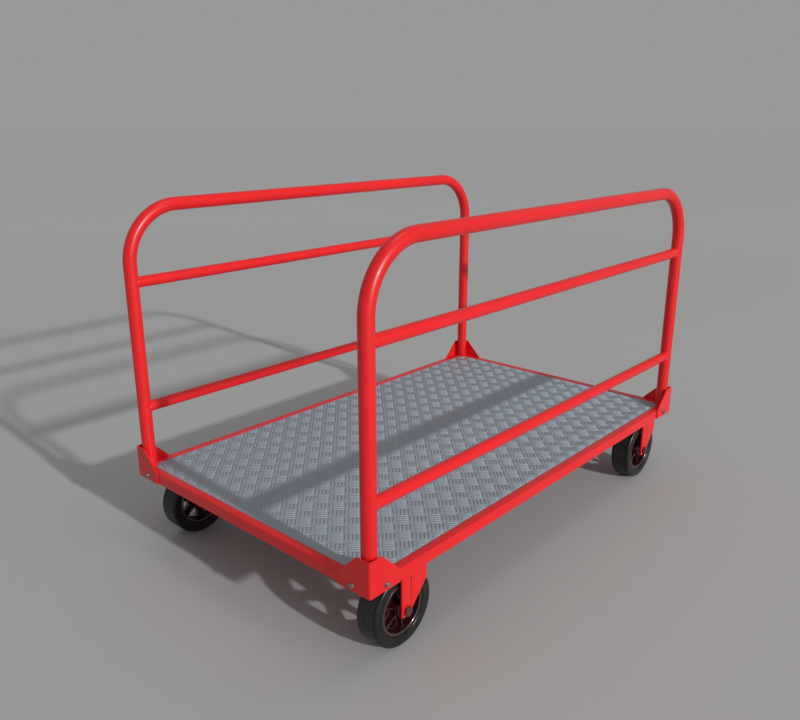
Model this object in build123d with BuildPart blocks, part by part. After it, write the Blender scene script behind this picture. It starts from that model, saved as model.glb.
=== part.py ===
from build123d import *
import os

os.makedirs("parts", exist_ok=True)

# Flatbed platform truck, in millimetres.
# +X runs along the truck to its front, +Y to its left, +Z up.
# The origin is on the floor, under the middle of the deck frame.

# ---------------------------------------------------------------- overall sizes
frame_length = 1235.0
frame_width = 753.0
hoop_height = 598.0  # frame top to the centre of the top tube

# ---------------------------------------------------------------- deck frame
frame_height = 25.0
frame_lip = 20.0  # width of the box section, seen as the lip round the deck
frame_wall = 2.0
frame_edge_radius = 1.5
deck_thickness = 3.0
deck_recess = 1.0  # the tread bars fill this, so they end level with the lip
deck_gap = 0.5
cross_width = 40.0
cross_height = 20.0
cross_wall = 2.0
cross_count = 3

# ---------------------------------------------------------------- side hoops
hoop_tube = 30.0
hoop_wall = 2.0
hoop_bend = 125.0  # centreline radius of the two upper bends
post_gap = 2.5  # hoop post to the frame's outer faces
rail_tube = 25.0
rail_wall = 1.5
lower_rail_height = 144.0  # above the frame top
upper_rail_height = 435.0
weld_gap = 0.05  # left at a coped tube end, closed by the weld

# ---------------------------------------------------------------- corner brackets
bracket_thickness = 3.0
bracket_rise = 49.0  # above the frame top
bracket_flat = 33.0  # level part of the wing's top, from the folded corner
bracket_toe = 25.0  # height of the wing's outer end
bracket_fold_radius = 2.5
bracket_corner_radius = 3.0
bracket_bolt_offset = 44.0  # folded corner to the bolt's centre

# ---------------------------------------------------------------- castors
wheel_diameter = 160.0
tyre_width = 50.0
tread_width = 37.0
tyre_thickness = 23.0
tyre_seat_width = 45.0
shoulder_radius = 6.5
wall_height = 14.0  # flat part of the tyre's side, up to the shoulder
tyre_clearance = 3.0  # tyre to fork crown
fork_thickness = 4.0
swivel_gap = 1.0  # fork crown to frame underside
side_setback = 46.5  # frame side to the kingpins
plate_clearance = 1.5  # castor plate to the frame's inner face
trail = 22.0  # kingpin to axle, measured along X
leg_half_width = 14.0
leg_tip_drop = 12.0  # leg end below the axle
leg_toe = 8.0  # height of the leg's outer end, before the slanted edge starts
gusset_rise = 47.0  # axle up to the top of the slanted edge
leg_edge_radius = 4.0
leg_pad_thickness = 1.0
leg_pad_half_width = 10.5
leg_pad_rise = 70.0  # axle up to the top of the pressed strip
fork_side_gap = 2.0  # wheel nave to a fork leg
crown_fillet = 3.0

# Castor head: plate, kingpin and ball race
plate_length = 86.0
plate_thickness = 4.0
plate_corner_radius = 6.0
plate_bolt_span_x = 64.0
plate_bolt_span_y = 32.0
race_height = 7.0
race_ring_height = 2.5
race_outer_radius = 24.0
race_inner_radius = 15.0
ball_radius = 2.5
ball_pitch_radius = 19.5
ball_count = 20
ball_clearance = 0.1
kingpin_radius = 6.0
kingpin_head_radius = 11.0
kingpin_head_height = 4.0
kingpin_foot_height = 1.6
kingpin_foot_gap = 0.2
kingpin_clearance = 0.1
running_clearance = 0.05
bearer_side_gap = 1.0  # castor plate to the bearer's edges
bearer_end_gap = 1.0  # front bearer to the nearest bracket nuts
bearer_thickness = 4.0
bearer_pin_clearance = 2.0

# Wheel centre, bush and axle
rim_thickness = 7.0
rim_edge_radius = 1.5
web_thickness = 10.0
nave_radius = 17.0
nave_length = 54.0
spoke_count = 6
spoke_phase = 20.0  # degrees from +X to the first rib, towards -Z
rib_thickness = 4.0
rib_width = 32.0
window_inner_radius = 26.0
window_outer_radius = 45.5
window_inner_half = 5.0
window_outer_half = 15.0
window_corner_radius = 3.0
web_overlap = 1.0  # web and ribs run this far into the rim and the nave
bush_wall = 3.0
bush_flange_radius = 12.0
bush_flange_gap = 0.3
press_interference = 0.05
tyre_grip = 0.1
axle_radius = 6.0
axle_hole_clearance = 0.2
axle_head_flats = 18.0
axle_head_height = 7.5
axle_nut_height = 6.0
axle_end = 1.0  # thread standing out of the nut

# ---------------------------------------------------------------- small fasteners
thread_clearance = 0.1
bracket_bolt_radius = 3.0
bracket_hole_clearance = 0.3
bracket_bolt_flats = 10.0
bracket_bolt_head = 4.0
bracket_washer_radius = 6.0
bracket_washer_thickness = 1.2
bracket_nut_height = 5.0
castor_bolt_radius = 4.0
castor_hole_clearance = 0.3
castor_bolt_flats = 13.0
castor_bolt_head = 5.3
castor_nut_height = 4.0
bolt_end = 1.0  # thread standing out of a small nut
nut_chamfer = 0.6

# ---------------------------------------------------------------- levels and places
wheel_radius = wheel_diameter / 2
axle_z = wheel_radius
crown_bottom = wheel_diameter + tyre_clearance
crown_top = crown_bottom + fork_thickness
frame_bottom = crown_top + swivel_gap
frame_top = frame_bottom + frame_height
frame_middle = (frame_bottom + frame_top) / 2
deck_top = frame_top - deck_recess
deck_bottom = deck_top - deck_thickness
plate_bottom = crown_top + race_height
plate_top = plate_bottom + plate_thickness
bearer_top = plate_top + bearer_thickness
ball_z = crown_top + race_height / 2

half_length = frame_length / 2
half_width = frame_width / 2
inner_length = frame_length - 2 * frame_lip
inner_width = frame_width - 2 * frame_lip
post_x = half_length - post_gap - hoop_tube / 2
post_y = half_width - post_gap - hoop_tube / 2
hoop_z = frame_top + hoop_height
plate_width = 2 * (side_setback - frame_lip - plate_clearance)
bearer_width = plate_length + 2 * bearer_side_gap
fork_inner_width = nave_length + 2 * fork_side_gap
fork_outer_width = fork_inner_width + 2 * fork_thickness
pad_width = fork_outer_width + 2 * leg_pad_thickness
crown_length = 2 * (trail + leg_half_width)

# The front bearer stands just behind the bracket nuts. The forks trail to the
# rear, so the rear kingpins stand further in, and the four axles end up centred.
bracket_nut_reach = bracket_bolt_flats / 3**0.5
front_setback = bracket_bolt_offset - bracket_thickness + bracket_nut_reach
front_setback += bearer_end_gap + bearer_width / 2
rear_setback = front_setback + 2 * trail

length_match = 0.01  # two lengths nearer than this are the same
sides = {"left": 1, "right": -1}
ends = {"front": 1, "rear": -1}
kingpin_x = {"front": half_length - front_setback, "rear": rear_setback - half_length}
kingpin_y = {"left": half_width - side_setback, "right": side_setback - half_width}
castors = [(end, side) for end in ends for side in sides]


def save(piece, label):
    """Name a finished piece and write it as its own STEP file."""
    piece.part.label = label
    export_step(piece.part, f"parts/{label}.step")


def outward_plane(normal_x, normal_y, distance, height):
    """A plane that faces outward from the truck, with its local x level."""
    return Plane(
        origin=(normal_x * distance, normal_y * distance, height),
        x_dir=(-normal_y, normal_x, 0),
        z_dir=(normal_x, normal_y, 0),
    )


# ---------------------------------------------------------------- deck frame
def frame_rail(label, normal_x, normal_y, distance, span):
    """One mitred length of box section, with its bracket bolt holes."""
    ground = Plane(
        origin=(normal_x * distance, normal_y * distance, 0),
        x_dir=(-normal_y, normal_x, 0),
        z_dir=(0, 0, 1),
    )
    along = Axis.Y if normal_x else Axis.X
    half = span / 2
    with BuildPart() as rail:
        with BuildSketch(ground.offset(frame_bottom)):
            Polygon(
                (-half, 0),
                (half, 0),
                (half - frame_lip, frame_lip),
                (frame_lip - half, frame_lip),
                align=None,
            )
        extrude(amount=frame_height)
        fillet(rail.edges().filter_by(along), radius=frame_edge_radius)
        with BuildSketch(ground.offset(frame_bottom + frame_wall)):
            with Locations((0, frame_lip / 2)):
                Rectangle(span, frame_lip - 2 * frame_wall)
        extrude(amount=frame_height - 2 * frame_wall, mode=Mode.SUBTRACT)
        bolt_offset = half + bracket_thickness - bracket_bolt_offset
        with BuildSketch(outward_plane(normal_x, normal_y, distance, frame_middle)):
            with Locations((-bolt_offset, 0), (bolt_offset, 0)):
                Circle(bracket_bolt_radius + bracket_hole_clearance)
        extrude(amount=-frame_lip, mode=Mode.SUBTRACT)
    save(rail, label)


# The plane's local y points inward for every rail.
for side, sign in sides.items():
    frame_rail(f"side_rail_{side}", 0, sign, half_width, frame_length)
for end, sign in ends.items():
    frame_rail(f"end_rail_{end}", sign, 0, half_length, frame_width)

# Tread plate, dropped into the frame and notched round the hoop posts.
with BuildPart() as deck_plate:
    with BuildSketch(Plane.XY.offset(deck_bottom)):
        Rectangle(inner_length - 2 * deck_gap, inner_width - 2 * deck_gap)
        with GridLocations(2 * post_x, 2 * post_y, 2, 2):
            Circle(hoop_tube / 2 + deck_gap, mode=Mode.SUBTRACT)
    extrude(amount=deck_thickness)
save(deck_plate, "deck_plate")


# Box-section cross members, spaced evenly between the two castor bearers.
def cross_member(label, place):
    """A box section across the frame, under the deck."""
    with BuildPart() as member:
        with BuildSketch(Plane.XZ.offset(-inner_width / 2)):
            with Locations((place, deck_bottom - cross_height / 2)):
                Rectangle(cross_width, cross_height)
                Rectangle(
                    cross_width - 2 * cross_wall,
                    cross_height - 2 * cross_wall,
                    mode=Mode.SUBTRACT,
                )
        extrude(amount=inner_width)
    save(member, label)


cross_pitch = (kingpin_x["front"] - kingpin_x["rear"]) / (cross_count + 1)
for index in range(cross_count):
    cross_member(f"cross_member_{index + 1}", kingpin_x["rear"] + cross_pitch * (index + 1))


# Upturned channels across the frame, which carry the castors.
def castor_bearer(label, place):
    """A channel with room above its web for the bolt heads."""
    with BuildPart() as bearer:
        with BuildSketch(Plane.XY.offset(plate_top)):
            with Locations((place, 0)):
                Rectangle(bearer_width, inner_width)
        extrude(amount=bearer_thickness)
        with BuildSketch(Plane.XY.offset(bearer_top)):
            with Locations((place, 0)):
                with GridLocations(bearer_width - bearer_thickness, 0, 2, 1):
                    Rectangle(bearer_thickness, inner_width)
        extrude(amount=deck_bottom - bearer_top)
        for pin_y in kingpin_y.values():
            with BuildSketch(Plane.XY.offset(plate_top)):
                with Locations((place, pin_y)):
                    Circle(kingpin_head_radius + bearer_pin_clearance)
                    with GridLocations(plate_bolt_span_x, plate_bolt_span_y, 2, 2):
                        Circle(castor_bolt_radius + castor_hole_clearance)
            extrude(amount=bearer_thickness, mode=Mode.SUBTRACT)
    save(bearer, label)


for end in ends:
    castor_bearer(f"castor_bearer_{end}", kingpin_x[end])


# ---------------------------------------------------------------- side hoops
def hoop(label, place):
    """One bent tube: two posts and a top run, standing on the frame's corners."""
    with BuildPart() as tube:
        with BuildLine(Plane.XZ.offset(-place)):
            FilletPolyline(
                (-post_x, frame_top),
                (-post_x, hoop_z),
                (post_x, hoop_z),
                (post_x, frame_top),
                radius=hoop_bend,
            )
        with BuildSketch(Plane.XY.offset(frame_top)):
            with Locations((-post_x, place)):
                Circle(hoop_tube / 2)
                Circle(hoop_tube / 2 - hoop_wall, mode=Mode.SUBTRACT)
        sweep()
    save(tube, label)


def hoop_rail(label, place, height):
    """A straight tube between the posts, coped to fit round them."""
    level = frame_top + height
    with BuildPart() as rail:
        with BuildSketch(Plane.YZ.offset(-post_x)):
            with Locations((place, level)):
                Circle(rail_tube / 2)
                Circle(rail_tube / 2 - rail_wall, mode=Mode.SUBTRACT)
        extrude(amount=2 * post_x)
        with BuildSketch(Plane.XY.offset(level - rail_tube)):
            with Locations((-post_x, place), (post_x, place)):
                Circle(hoop_tube / 2 + weld_gap)
        extrude(amount=2 * rail_tube, mode=Mode.SUBTRACT)
    save(rail, label)


for side, sign in sides.items():
    hoop(f"hoop_{side}", sign * post_y)
    hoop_rail(f"lower_rail_{side}", sign * post_y, lower_rail_height)
    hoop_rail(f"upper_rail_{side}", sign * post_y, upper_rail_height)


# ---------------------------------------------------------------- corner brackets
def wing(plane, hand):
    """The outline of one bracket wing: the fold is at local x = 0, and it runs along hand."""
    toe = bracket_flat + bracket_rise + frame_height - bracket_toe
    with BuildSketch(plane) as outline:
        with BuildLine():
            Polyline(
                (0, 0),
                (hand * toe, 0),
                (hand * toe, bracket_toe),
                (hand * bracket_flat, frame_height + bracket_rise),
                (0, frame_height + bracket_rise),
                close=True,
            )
        make_face()
        with Locations((hand * bracket_bolt_offset, frame_height / 2)):
            Circle(bracket_bolt_radius + bracket_hole_clearance, mode=Mode.SUBTRACT)
    return outline.sketch


def corner_bracket(label, end_sign, side_sign):
    """A folded plate round one corner of the frame; the post stands inside it."""
    corner_x = end_sign * (half_length + bracket_thickness)
    corner_y = side_sign * (half_width + bracket_thickness)
    end_face = Plane(origin=(corner_x, corner_y, frame_bottom), x_dir=(0, 1, 0), z_dir=(1, 0, 0))
    side_face = Plane(origin=(corner_x, corner_y, frame_bottom), x_dir=(1, 0, 0), z_dir=(0, -1, 0))
    with BuildPart() as bracket:
        extrude(wing(end_face, -side_sign), amount=-end_sign * bracket_thickness)
        extrude(wing(side_face, -end_sign), amount=side_sign * bracket_thickness)
        upright = bracket.edges().filter_by(Axis.Z)
        fold = upright.sort_by_distance((corner_x, corner_y, frame_middle))[0]
        fillet(fold, radius=bracket_fold_radius)
        toes = bracket.edges().filter_by(lambda edge: abs(edge.length - bracket_thickness) < length_match)
        high_toes = toes.filter_by(lambda edge: edge.center().Z > frame_bottom + bracket_toe / 2)
        fillet(high_toes, radius=bracket_corner_radius)
    save(bracket, label)


for end, side in castors:
    corner_bracket(f"corner_bracket_{end}_{side}", ends[end], sides[side])

# Seats of the bracket bolts: two on each bracket, on the outer faces.
bolt_along_x = half_length + bracket_thickness - bracket_bolt_offset
bolt_along_y = half_width + bracket_thickness - bracket_bolt_offset
bracket_bolt_seats = []
for end, side in castors:
    end_seat = outward_plane(ends[end], 0, half_length + bracket_thickness, frame_middle)
    end_seat.origin = end_seat.origin + Vector(0, sides[side] * bolt_along_y, 0)
    side_seat = outward_plane(0, sides[side], half_width + bracket_thickness, frame_middle)
    side_seat.origin = side_seat.origin + Vector(ends[end] * bolt_along_x, 0, 0)
    bracket_bolt_seats += [end_seat, side_seat]

with BuildPart() as bracket_washers:
    for seat in bracket_bolt_seats:
        with BuildSketch(seat):
            Circle(bracket_washer_radius)
            Circle(bracket_bolt_radius + thread_clearance, mode=Mode.SUBTRACT)
        extrude(amount=bracket_washer_thickness)
save(bracket_washers, "bracket_washers")

bracket_grip = bracket_thickness + frame_lip
with BuildPart() as bracket_bolts:
    for seat in bracket_bolt_seats:
        head_seat = seat.offset(bracket_washer_thickness)
        with BuildSketch(head_seat):
            RegularPolygon(bracket_bolt_flats / 2, 6, major_radius=False)
        extrude(amount=bracket_bolt_head)
        with BuildSketch(head_seat):
            Circle(bracket_bolt_radius)
        shank = bracket_washer_thickness + bracket_grip + bracket_nut_height + bolt_end
        extrude(amount=-shank)
save(bracket_bolts, "bracket_bolts")

with BuildPart() as bracket_nuts:
    for seat in bracket_bolt_seats:
        with BuildSketch(seat.offset(-bracket_grip)):
            RegularPolygon(bracket_bolt_flats / 2, 6, major_radius=False)
            Circle(bracket_bolt_radius + thread_clearance, mode=Mode.SUBTRACT)
        extrude(amount=-bracket_nut_height)
save(bracket_nuts, "bracket_nuts")


# ---------------------------------------------------------------- castor heads
def race_groove(place_x, place_y):
    """The section of the track that the balls run in, for a cut about the kingpin."""
    groove_plane = Plane(origin=(place_x, place_y, ball_z), x_dir=(1, 0, 0), z_dir=(0, -1, 0))
    with BuildSketch(groove_plane) as groove:
        with Locations((ball_pitch_radius, 0)):
            Circle(ball_radius + ball_clearance)
    return groove.sketch


def race_ring(place_x, place_y, level):
    """The plan of one half of the ball race."""
    with BuildSketch(Plane.XY.offset(level)) as ring:
        with Locations((place_x, place_y)):
            Circle(race_outer_radius)
            Circle(race_inner_radius, mode=Mode.SUBTRACT)
    return ring.sketch


def kingpin_axis(place_x, place_y):
    """The line that a fork swivels about."""
    return Axis((place_x, place_y, 0), (0, 0, 1))


def castor_plate(label, place_x, place_y):
    """The plate bolted under the bearer, with the upper half of the ball race."""
    with BuildPart() as plate:
        with BuildSketch(Plane.XY.offset(plate_bottom)):
            with Locations((place_x, place_y)):
                RectangleRounded(plate_length, plate_width, plate_corner_radius)
        extrude(amount=plate_thickness)
        ring_bottom = plate_bottom - race_ring_height
        extrude(race_ring(place_x, place_y, ring_bottom), amount=race_ring_height)
        groove = race_groove(place_x, place_y)
        revolve(groove, axis=kingpin_axis(place_x, place_y), mode=Mode.SUBTRACT)
        with BuildSketch(Plane.XY.offset(plate_bottom)):
            with Locations((place_x, place_y)):
                Circle(kingpin_radius + kingpin_clearance)
                with GridLocations(plate_bolt_span_x, plate_bolt_span_y, 2, 2):
                    Circle(castor_bolt_radius + castor_hole_clearance)
        extrude(amount=plate_thickness, mode=Mode.SUBTRACT)
    save(plate, label)


def race_balls(label, place_x, place_y):
    """The ring of balls that carries the fork."""
    with BuildPart() as balls:
        with Locations((place_x, place_y, ball_z)):
            with PolarLocations(ball_pitch_radius, ball_count):
                Sphere(ball_radius)
    save(balls, label)


for end, side in castors:
    castor_plate(f"castor_plate_{end}_{side}", kingpin_x[end], kingpin_y[side])
    race_balls(f"race_balls_{end}_{side}", kingpin_x[end], kingpin_y[side])

# Kingpins: a head on the castor plate and a riveted foot under the fork crown.
kingpin_foot_top = crown_bottom - kingpin_foot_gap
kingpin_foot_bottom = kingpin_foot_top - kingpin_foot_height
kingpin_places = [(kingpin_x[end], kingpin_y[side]) for end, side in castors]
with BuildPart() as kingpins:
    with BuildSketch(Plane.XY.offset(kingpin_foot_bottom)):
        with Locations(kingpin_places):
            Circle(kingpin_head_radius)
    extrude(amount=kingpin_foot_height)
    with BuildSketch(Plane.XY.offset(kingpin_foot_bottom)):
        with Locations(kingpin_places):
            Circle(kingpin_radius)
    extrude(amount=plate_top - kingpin_foot_bottom)
    with BuildSketch(Plane.XY.offset(plate_top)):
        with Locations(kingpin_places):
            Circle(kingpin_head_radius)
    extrude(amount=kingpin_head_height)
save(kingpins, "kingpins")

# Castor bolts: heads on the bearer's web, thin nuts under the castor plate.
castor_nut_bottom = plate_bottom - castor_nut_height
with BuildPart() as castor_bolts:
    with BuildSketch(Plane.XY.offset(bearer_top)):
        with Locations(kingpin_places):
            with GridLocations(plate_bolt_span_x, plate_bolt_span_y, 2, 2):
                RegularPolygon(castor_bolt_flats / 2, 6, major_radius=False)
    extrude(amount=castor_bolt_head)
    with BuildSketch(Plane.XY.offset(castor_nut_bottom - bolt_end)):
        with Locations(kingpin_places):
            with GridLocations(plate_bolt_span_x, plate_bolt_span_y, 2, 2):
                Circle(castor_bolt_radius)
    extrude(amount=bearer_top - castor_nut_bottom + bolt_end)
save(castor_bolts, "castor_bolts")

with BuildPart() as castor_nuts:
    with BuildSketch(Plane.XY.offset(castor_nut_bottom)):
        with Locations(kingpin_places):
            with GridLocations(plate_bolt_span_x, plate_bolt_span_y, 2, 2):
                RegularPolygon(castor_bolt_flats / 2, 6, major_radius=False)
                Circle(castor_bolt_radius + thread_clearance, mode=Mode.SUBTRACT)
    extrude(amount=castor_nut_height)
save(castor_nuts, "castor_nuts")


# ---------------------------------------------------------------- forks and wheels
def fork(label, axle_x, axle_y):
    """A pressed fork: a crown under the race and two gusseted legs."""
    tip_z = axle_z - leg_tip_drop
    gusset_x = axle_x + crown_length - leg_half_width
    with BuildPart() as body:
        with BuildSketch(Plane.XZ.offset(fork_outer_width / 2 - axle_y)):
            with BuildLine():
                Polyline(
                    (axle_x - leg_half_width, crown_top),
                    (axle_x - leg_half_width, tip_z),
                    (axle_x + leg_half_width, tip_z),
                    (axle_x + leg_half_width, tip_z + leg_toe),
                    (gusset_x, axle_z + gusset_rise),
                    (gusset_x, crown_top),
                    close=True,
                )
            make_face()
        extrude(amount=-fork_outer_width)
        rounded = body.edges().filter_by(Axis.Y)
        rounded = rounded.filter_by(lambda edge: edge.center().Z < axle_z + gusset_rise + length_match)
        fillet(rounded, radius=leg_edge_radius)
        top_edges = body.faces().sort_by(Axis.Z)[-1].edges().filter_by(Axis.X)
        fillet(top_edges, radius=crown_fillet)
        with BuildSketch(Plane.XY.offset(crown_bottom)):
            with Locations((axle_x + trail, axle_y)):
                Rectangle(crown_length, fork_inner_width)
        extrude(amount=tip_z - crown_bottom, mode=Mode.SUBTRACT)
        pad_height = leg_pad_rise + leg_tip_drop
        for outward in (1, -1):
            leg_face = outward_plane(0, outward, 0, tip_z + pad_height / 2)
            leg_face.origin = Vector(axle_x, axle_y + outward * fork_outer_width / 2, leg_face.origin.Z)
            with BuildSketch(leg_face):
                RectangleRounded(2 * leg_pad_half_width, pad_height, leg_edge_radius)
            extrude(amount=leg_pad_thickness)
        with BuildSketch(Plane.XZ.offset(pad_width / 2 - axle_y)):
            with Locations((axle_x, axle_z)):
                Circle(axle_radius + axle_hole_clearance)
        extrude(amount=-pad_width, mode=Mode.SUBTRACT)
        pin_x = axle_x + trail
        extrude(race_ring(pin_x, axle_y, crown_top), amount=race_ring_height)
        revolve(race_groove(pin_x, axle_y), axis=kingpin_axis(pin_x, axle_y), mode=Mode.SUBTRACT)
        with BuildSketch(Plane.XY.offset(crown_bottom)):
            with Locations((pin_x, axle_y)):
                Circle(kingpin_radius + running_clearance)
        extrude(amount=fork_thickness, mode=Mode.SUBTRACT)
    save(body, label)


def axle_bolt(label, axle_x, axle_y, outward):
    """The axle: its head is on the leg nearer the truck's middle."""
    inner_face = Plane(origin=(axle_x, axle_y - outward * pad_width / 2, axle_z), z_dir=(0, outward, 0))
    with BuildPart() as bolt:
        with BuildSketch(inner_face):
            RegularPolygon(axle_head_flats / 2, 6, major_radius=False)
        extrude(amount=-axle_head_height)
        with BuildSketch(inner_face):
            Circle(axle_radius)
        extrude(amount=pad_width + axle_nut_height + axle_end)
    save(bolt, label)


def axle_nut(label, axle_x, axle_y, outward):
    """The nut on the outer leg."""
    outer_face = Plane(origin=(axle_x, axle_y + outward * pad_width / 2, axle_z), z_dir=(0, outward, 0))
    with BuildPart() as nut:
        with BuildSketch(outer_face):
            RegularPolygon(axle_head_flats / 2, 6, major_radius=False)
        extrude(amount=axle_nut_height)
        chamfer(nut.faces().sort_by(Axis.Y)[-1 if outward > 0 else 0].edges(), length=nut_chamfer)
        with BuildSketch(outer_face):
            Circle(axle_radius + thread_clearance)
        extrude(amount=axle_nut_height, mode=Mode.SUBTRACT)
    save(nut, label)


rim_radius = wheel_radius - tyre_thickness
bush_inner_radius = axle_radius + running_clearance
bush_outer_radius = bush_inner_radius + bush_wall
half_nave = nave_length / 2


def profile_plane(axle_x, axle_y):
    """Local x runs along the axle and local y is the radius."""
    return Plane(origin=(axle_x, axle_y, axle_z), x_dir=(0, 1, 0), z_dir=(1, 0, 0))


def axle_axis(axle_x, axle_y):
    """The line that a wheel's profiles are turned about."""
    return Axis((axle_x, axle_y, axle_z), (0, 1, 0))


def tyre(label, axle_x, axle_y):
    """A solid rubber tyre with rounded shoulders."""
    half = tyre_width / 2
    seat = tyre_seat_width / 2
    wall_top = wheel_radius - shoulder_radius
    inner = rim_radius - tyre_grip
    with BuildPart() as rubber:
        with BuildSketch(profile_plane(axle_x, axle_y)):
            with BuildLine():
                Polyline((-half, wall_top), (-half, wall_top - wall_height), (-seat, inner), (seat, inner))
                Polyline((seat, inner), (half, wall_top - wall_height), (half, wall_top))
                Spline(
                    (half, wall_top),
                    (tread_width / 2, wheel_radius),
                    tangents=[(0, 1), (-1, 0)],
                )
                Line((tread_width / 2, wheel_radius), (-tread_width / 2, wheel_radius))
                Spline(
                    (-tread_width / 2, wheel_radius),
                    (-half, wall_top),
                    tangents=[(-1, 0), (0, -1)],
                )
            make_face()
        revolve(axis=axle_axis(axle_x, axle_y))
    save(rubber, label)


def wheel_centre(label, axle_x, axle_y):
    """Rim, ribbed spokes and nave in one moulding."""
    seat = tyre_seat_width / 2
    rim_inner = rim_radius - rim_thickness
    bore = bush_outer_radius - press_interference
    middle = Plane(origin=(axle_x, axle_y, axle_z), x_dir=(1, 0, 0), z_dir=(0, 1, 0))
    rib_start = nave_radius - web_overlap
    rib_end = rim_inner + web_overlap
    window_angle = spoke_phase + 180 / spoke_count
    with BuildSketch() as window:
        Polygon(
            (window_inner_radius, -window_inner_half),
            (window_outer_radius, -window_outer_half),
            (window_outer_radius, window_outer_half),
            (window_inner_radius, window_inner_half),
            align=None,
        )
        fillet(window.vertices(), radius=window_corner_radius)
    with BuildPart() as centre:
        with BuildSketch(profile_plane(axle_x, axle_y)):
            with Locations((0, (rim_radius + rim_inner) / 2)):
                Rectangle(2 * seat, rim_thickness)
            with Locations((0, (bore + nave_radius) / 2)):
                Rectangle(nave_length, nave_radius - bore)
        revolve(axis=axle_axis(axle_x, axle_y))
        rim_lips = centre.edges().filter_by(GeomType.CIRCLE)
        rim_lips = rim_lips.filter_by(lambda edge: abs(edge.radius - rim_inner) < length_match)
        fillet(rim_lips, radius=rim_edge_radius)
        with BuildSketch(middle):
            Circle(rib_end)
            Circle(rib_start, mode=Mode.SUBTRACT)
            with PolarLocations(0, spoke_count, start_angle=window_angle):
                add(window.sketch, mode=Mode.SUBTRACT)
        extrude(amount=web_thickness / 2, both=True)
        with BuildSketch(middle):
            with PolarLocations((rib_start + rib_end) / 2, spoke_count, start_angle=spoke_phase):
                Rectangle(rib_end - rib_start, rib_thickness)
        extrude(amount=rib_width / 2, both=True)
    save(centre, label)


def axle_bush(label, axle_x, axle_y):
    """A flanged bush pressed into the nave; it turns on the axle."""
    flange = (fork_inner_width - nave_length) / 2 - bush_flange_gap
    half = half_nave + flange
    with BuildPart() as bush:
        with BuildSketch(profile_plane(axle_x, axle_y)):
            with BuildLine():
                Polyline(
                    (-half, bush_inner_radius),
                    (-half, bush_flange_radius),
                    (-half_nave, bush_flange_radius),
                    (-half_nave, bush_outer_radius),
                    (half_nave, bush_outer_radius),
                    (half_nave, bush_flange_radius),
                    (half, bush_flange_radius),
                    (half, bush_inner_radius),
                    close=True,
                )
            make_face()
        revolve(axis=axle_axis(axle_x, axle_y))
    save(bush, label)


# Every fork trails towards the rear, as after a push forward.
for end, side in castors:
    corner = f"{end}_{side}"
    wheel_x = kingpin_x[end] - trail
    wheel_y = kingpin_y[side]
    fork(f"fork_{corner}", wheel_x, wheel_y)
    axle_bolt(f"axle_bolt_{corner}", wheel_x, wheel_y, sides[side])
    axle_nut(f"axle_nut_{corner}", wheel_x, wheel_y, sides[side])
    tyre(f"tyre_{corner}", wheel_x, wheel_y)
    wheel_centre(f"wheel_centre_{corner}", wheel_x, wheel_y)
    axle_bush(f"axle_bush_{corner}", wheel_x, wheel_y)
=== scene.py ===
import math

import bmesh
import bpy
import numpy as np
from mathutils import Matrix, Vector


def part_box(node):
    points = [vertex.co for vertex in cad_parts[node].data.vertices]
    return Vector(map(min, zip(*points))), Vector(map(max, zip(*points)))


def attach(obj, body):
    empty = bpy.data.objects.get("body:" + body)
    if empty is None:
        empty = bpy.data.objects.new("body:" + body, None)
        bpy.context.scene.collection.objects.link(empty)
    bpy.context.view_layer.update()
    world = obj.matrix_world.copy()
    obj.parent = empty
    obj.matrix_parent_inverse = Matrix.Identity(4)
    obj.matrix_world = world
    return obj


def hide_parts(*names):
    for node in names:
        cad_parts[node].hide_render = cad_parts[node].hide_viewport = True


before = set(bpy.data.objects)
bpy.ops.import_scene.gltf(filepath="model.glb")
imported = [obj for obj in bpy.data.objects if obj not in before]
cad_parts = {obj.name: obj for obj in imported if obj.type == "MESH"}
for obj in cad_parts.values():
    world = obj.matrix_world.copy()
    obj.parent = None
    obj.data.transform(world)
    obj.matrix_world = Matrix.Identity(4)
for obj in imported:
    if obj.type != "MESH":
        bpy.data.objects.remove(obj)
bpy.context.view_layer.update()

bl_info = {
    "name": "Flatbed Platform Truck",
    "version": (1, 0, 0),
    "blender": (4, 5, 0),
    "location": "3D View > Sidebar > Truck",
    "description": "Builds a flatbed platform truck with side hoops around its packed frame",
    "category": "Object",
}

SIDES = {"left": 1, "right": -1}
ENDS = {"front": 1, "rear": -1}
CORNERS = [(end, side) for end in ENDS for side in SIDES]
UP = Vector((0, 0, 1))
ALONG = Vector((1, 0, 0))
ACROSS = Vector((0, 1, 0))

# Details that are too fine to be worth a setting. Lengths are in metres.
BARS_PER_GROUP = 5
MEMBERS = 3
SHARP_ANGLE = math.radians(32)
BEVEL_ANGLE = math.radians(38)
NUT_CHAMFER = math.radians(30)
BEAD_WAVE = 0.0022  # from one ripple of a weld to the next
BEAD_SINK = 0.0004  # how far a bead's middle stands off the seam
POST_LAP = 0.0006  # how far a hoop runs past its foot, and the foot's bead above it
FINE_BEAD = 0.8  # size of the beads on thin tube, to those at the posts' feet
SEAM_STEP = 0.0008  # between points of a seam that goes round corners
WELD_START, WELD_STEP, WELD_STEPS = 0.006, 0.0006, 62  # a bracket's bead, up from the rail's top
FOOT_CORNER = 0.001  # corner radius at a bracket's lower edge
SHANK_LAP = 0.0004  # how far a shank runs into its nut
THREAD_STANDING = 0.001  # thread that stands out of a nut
HEAD_FACE = 0.95  # round flat on a head or a nut, to its flats
HEAD_DISH = 0.72  # dished part of a head, to its round flat
HEAD_FOOT = 0.0002  # lowest course of a head's points above its seat
PITCHES = {"bracket": 0.001, "axle": 0.0015, "plate": 0.00125}  # of the threads
NUT_BORES = {"bracket": 1.04, "axle": 1.02, "plate": 1.03}  # of the nuts, to the bolts' radii
WASHER_BORE = 1.08  # of the bracket washers, to the bolts' radii
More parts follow.
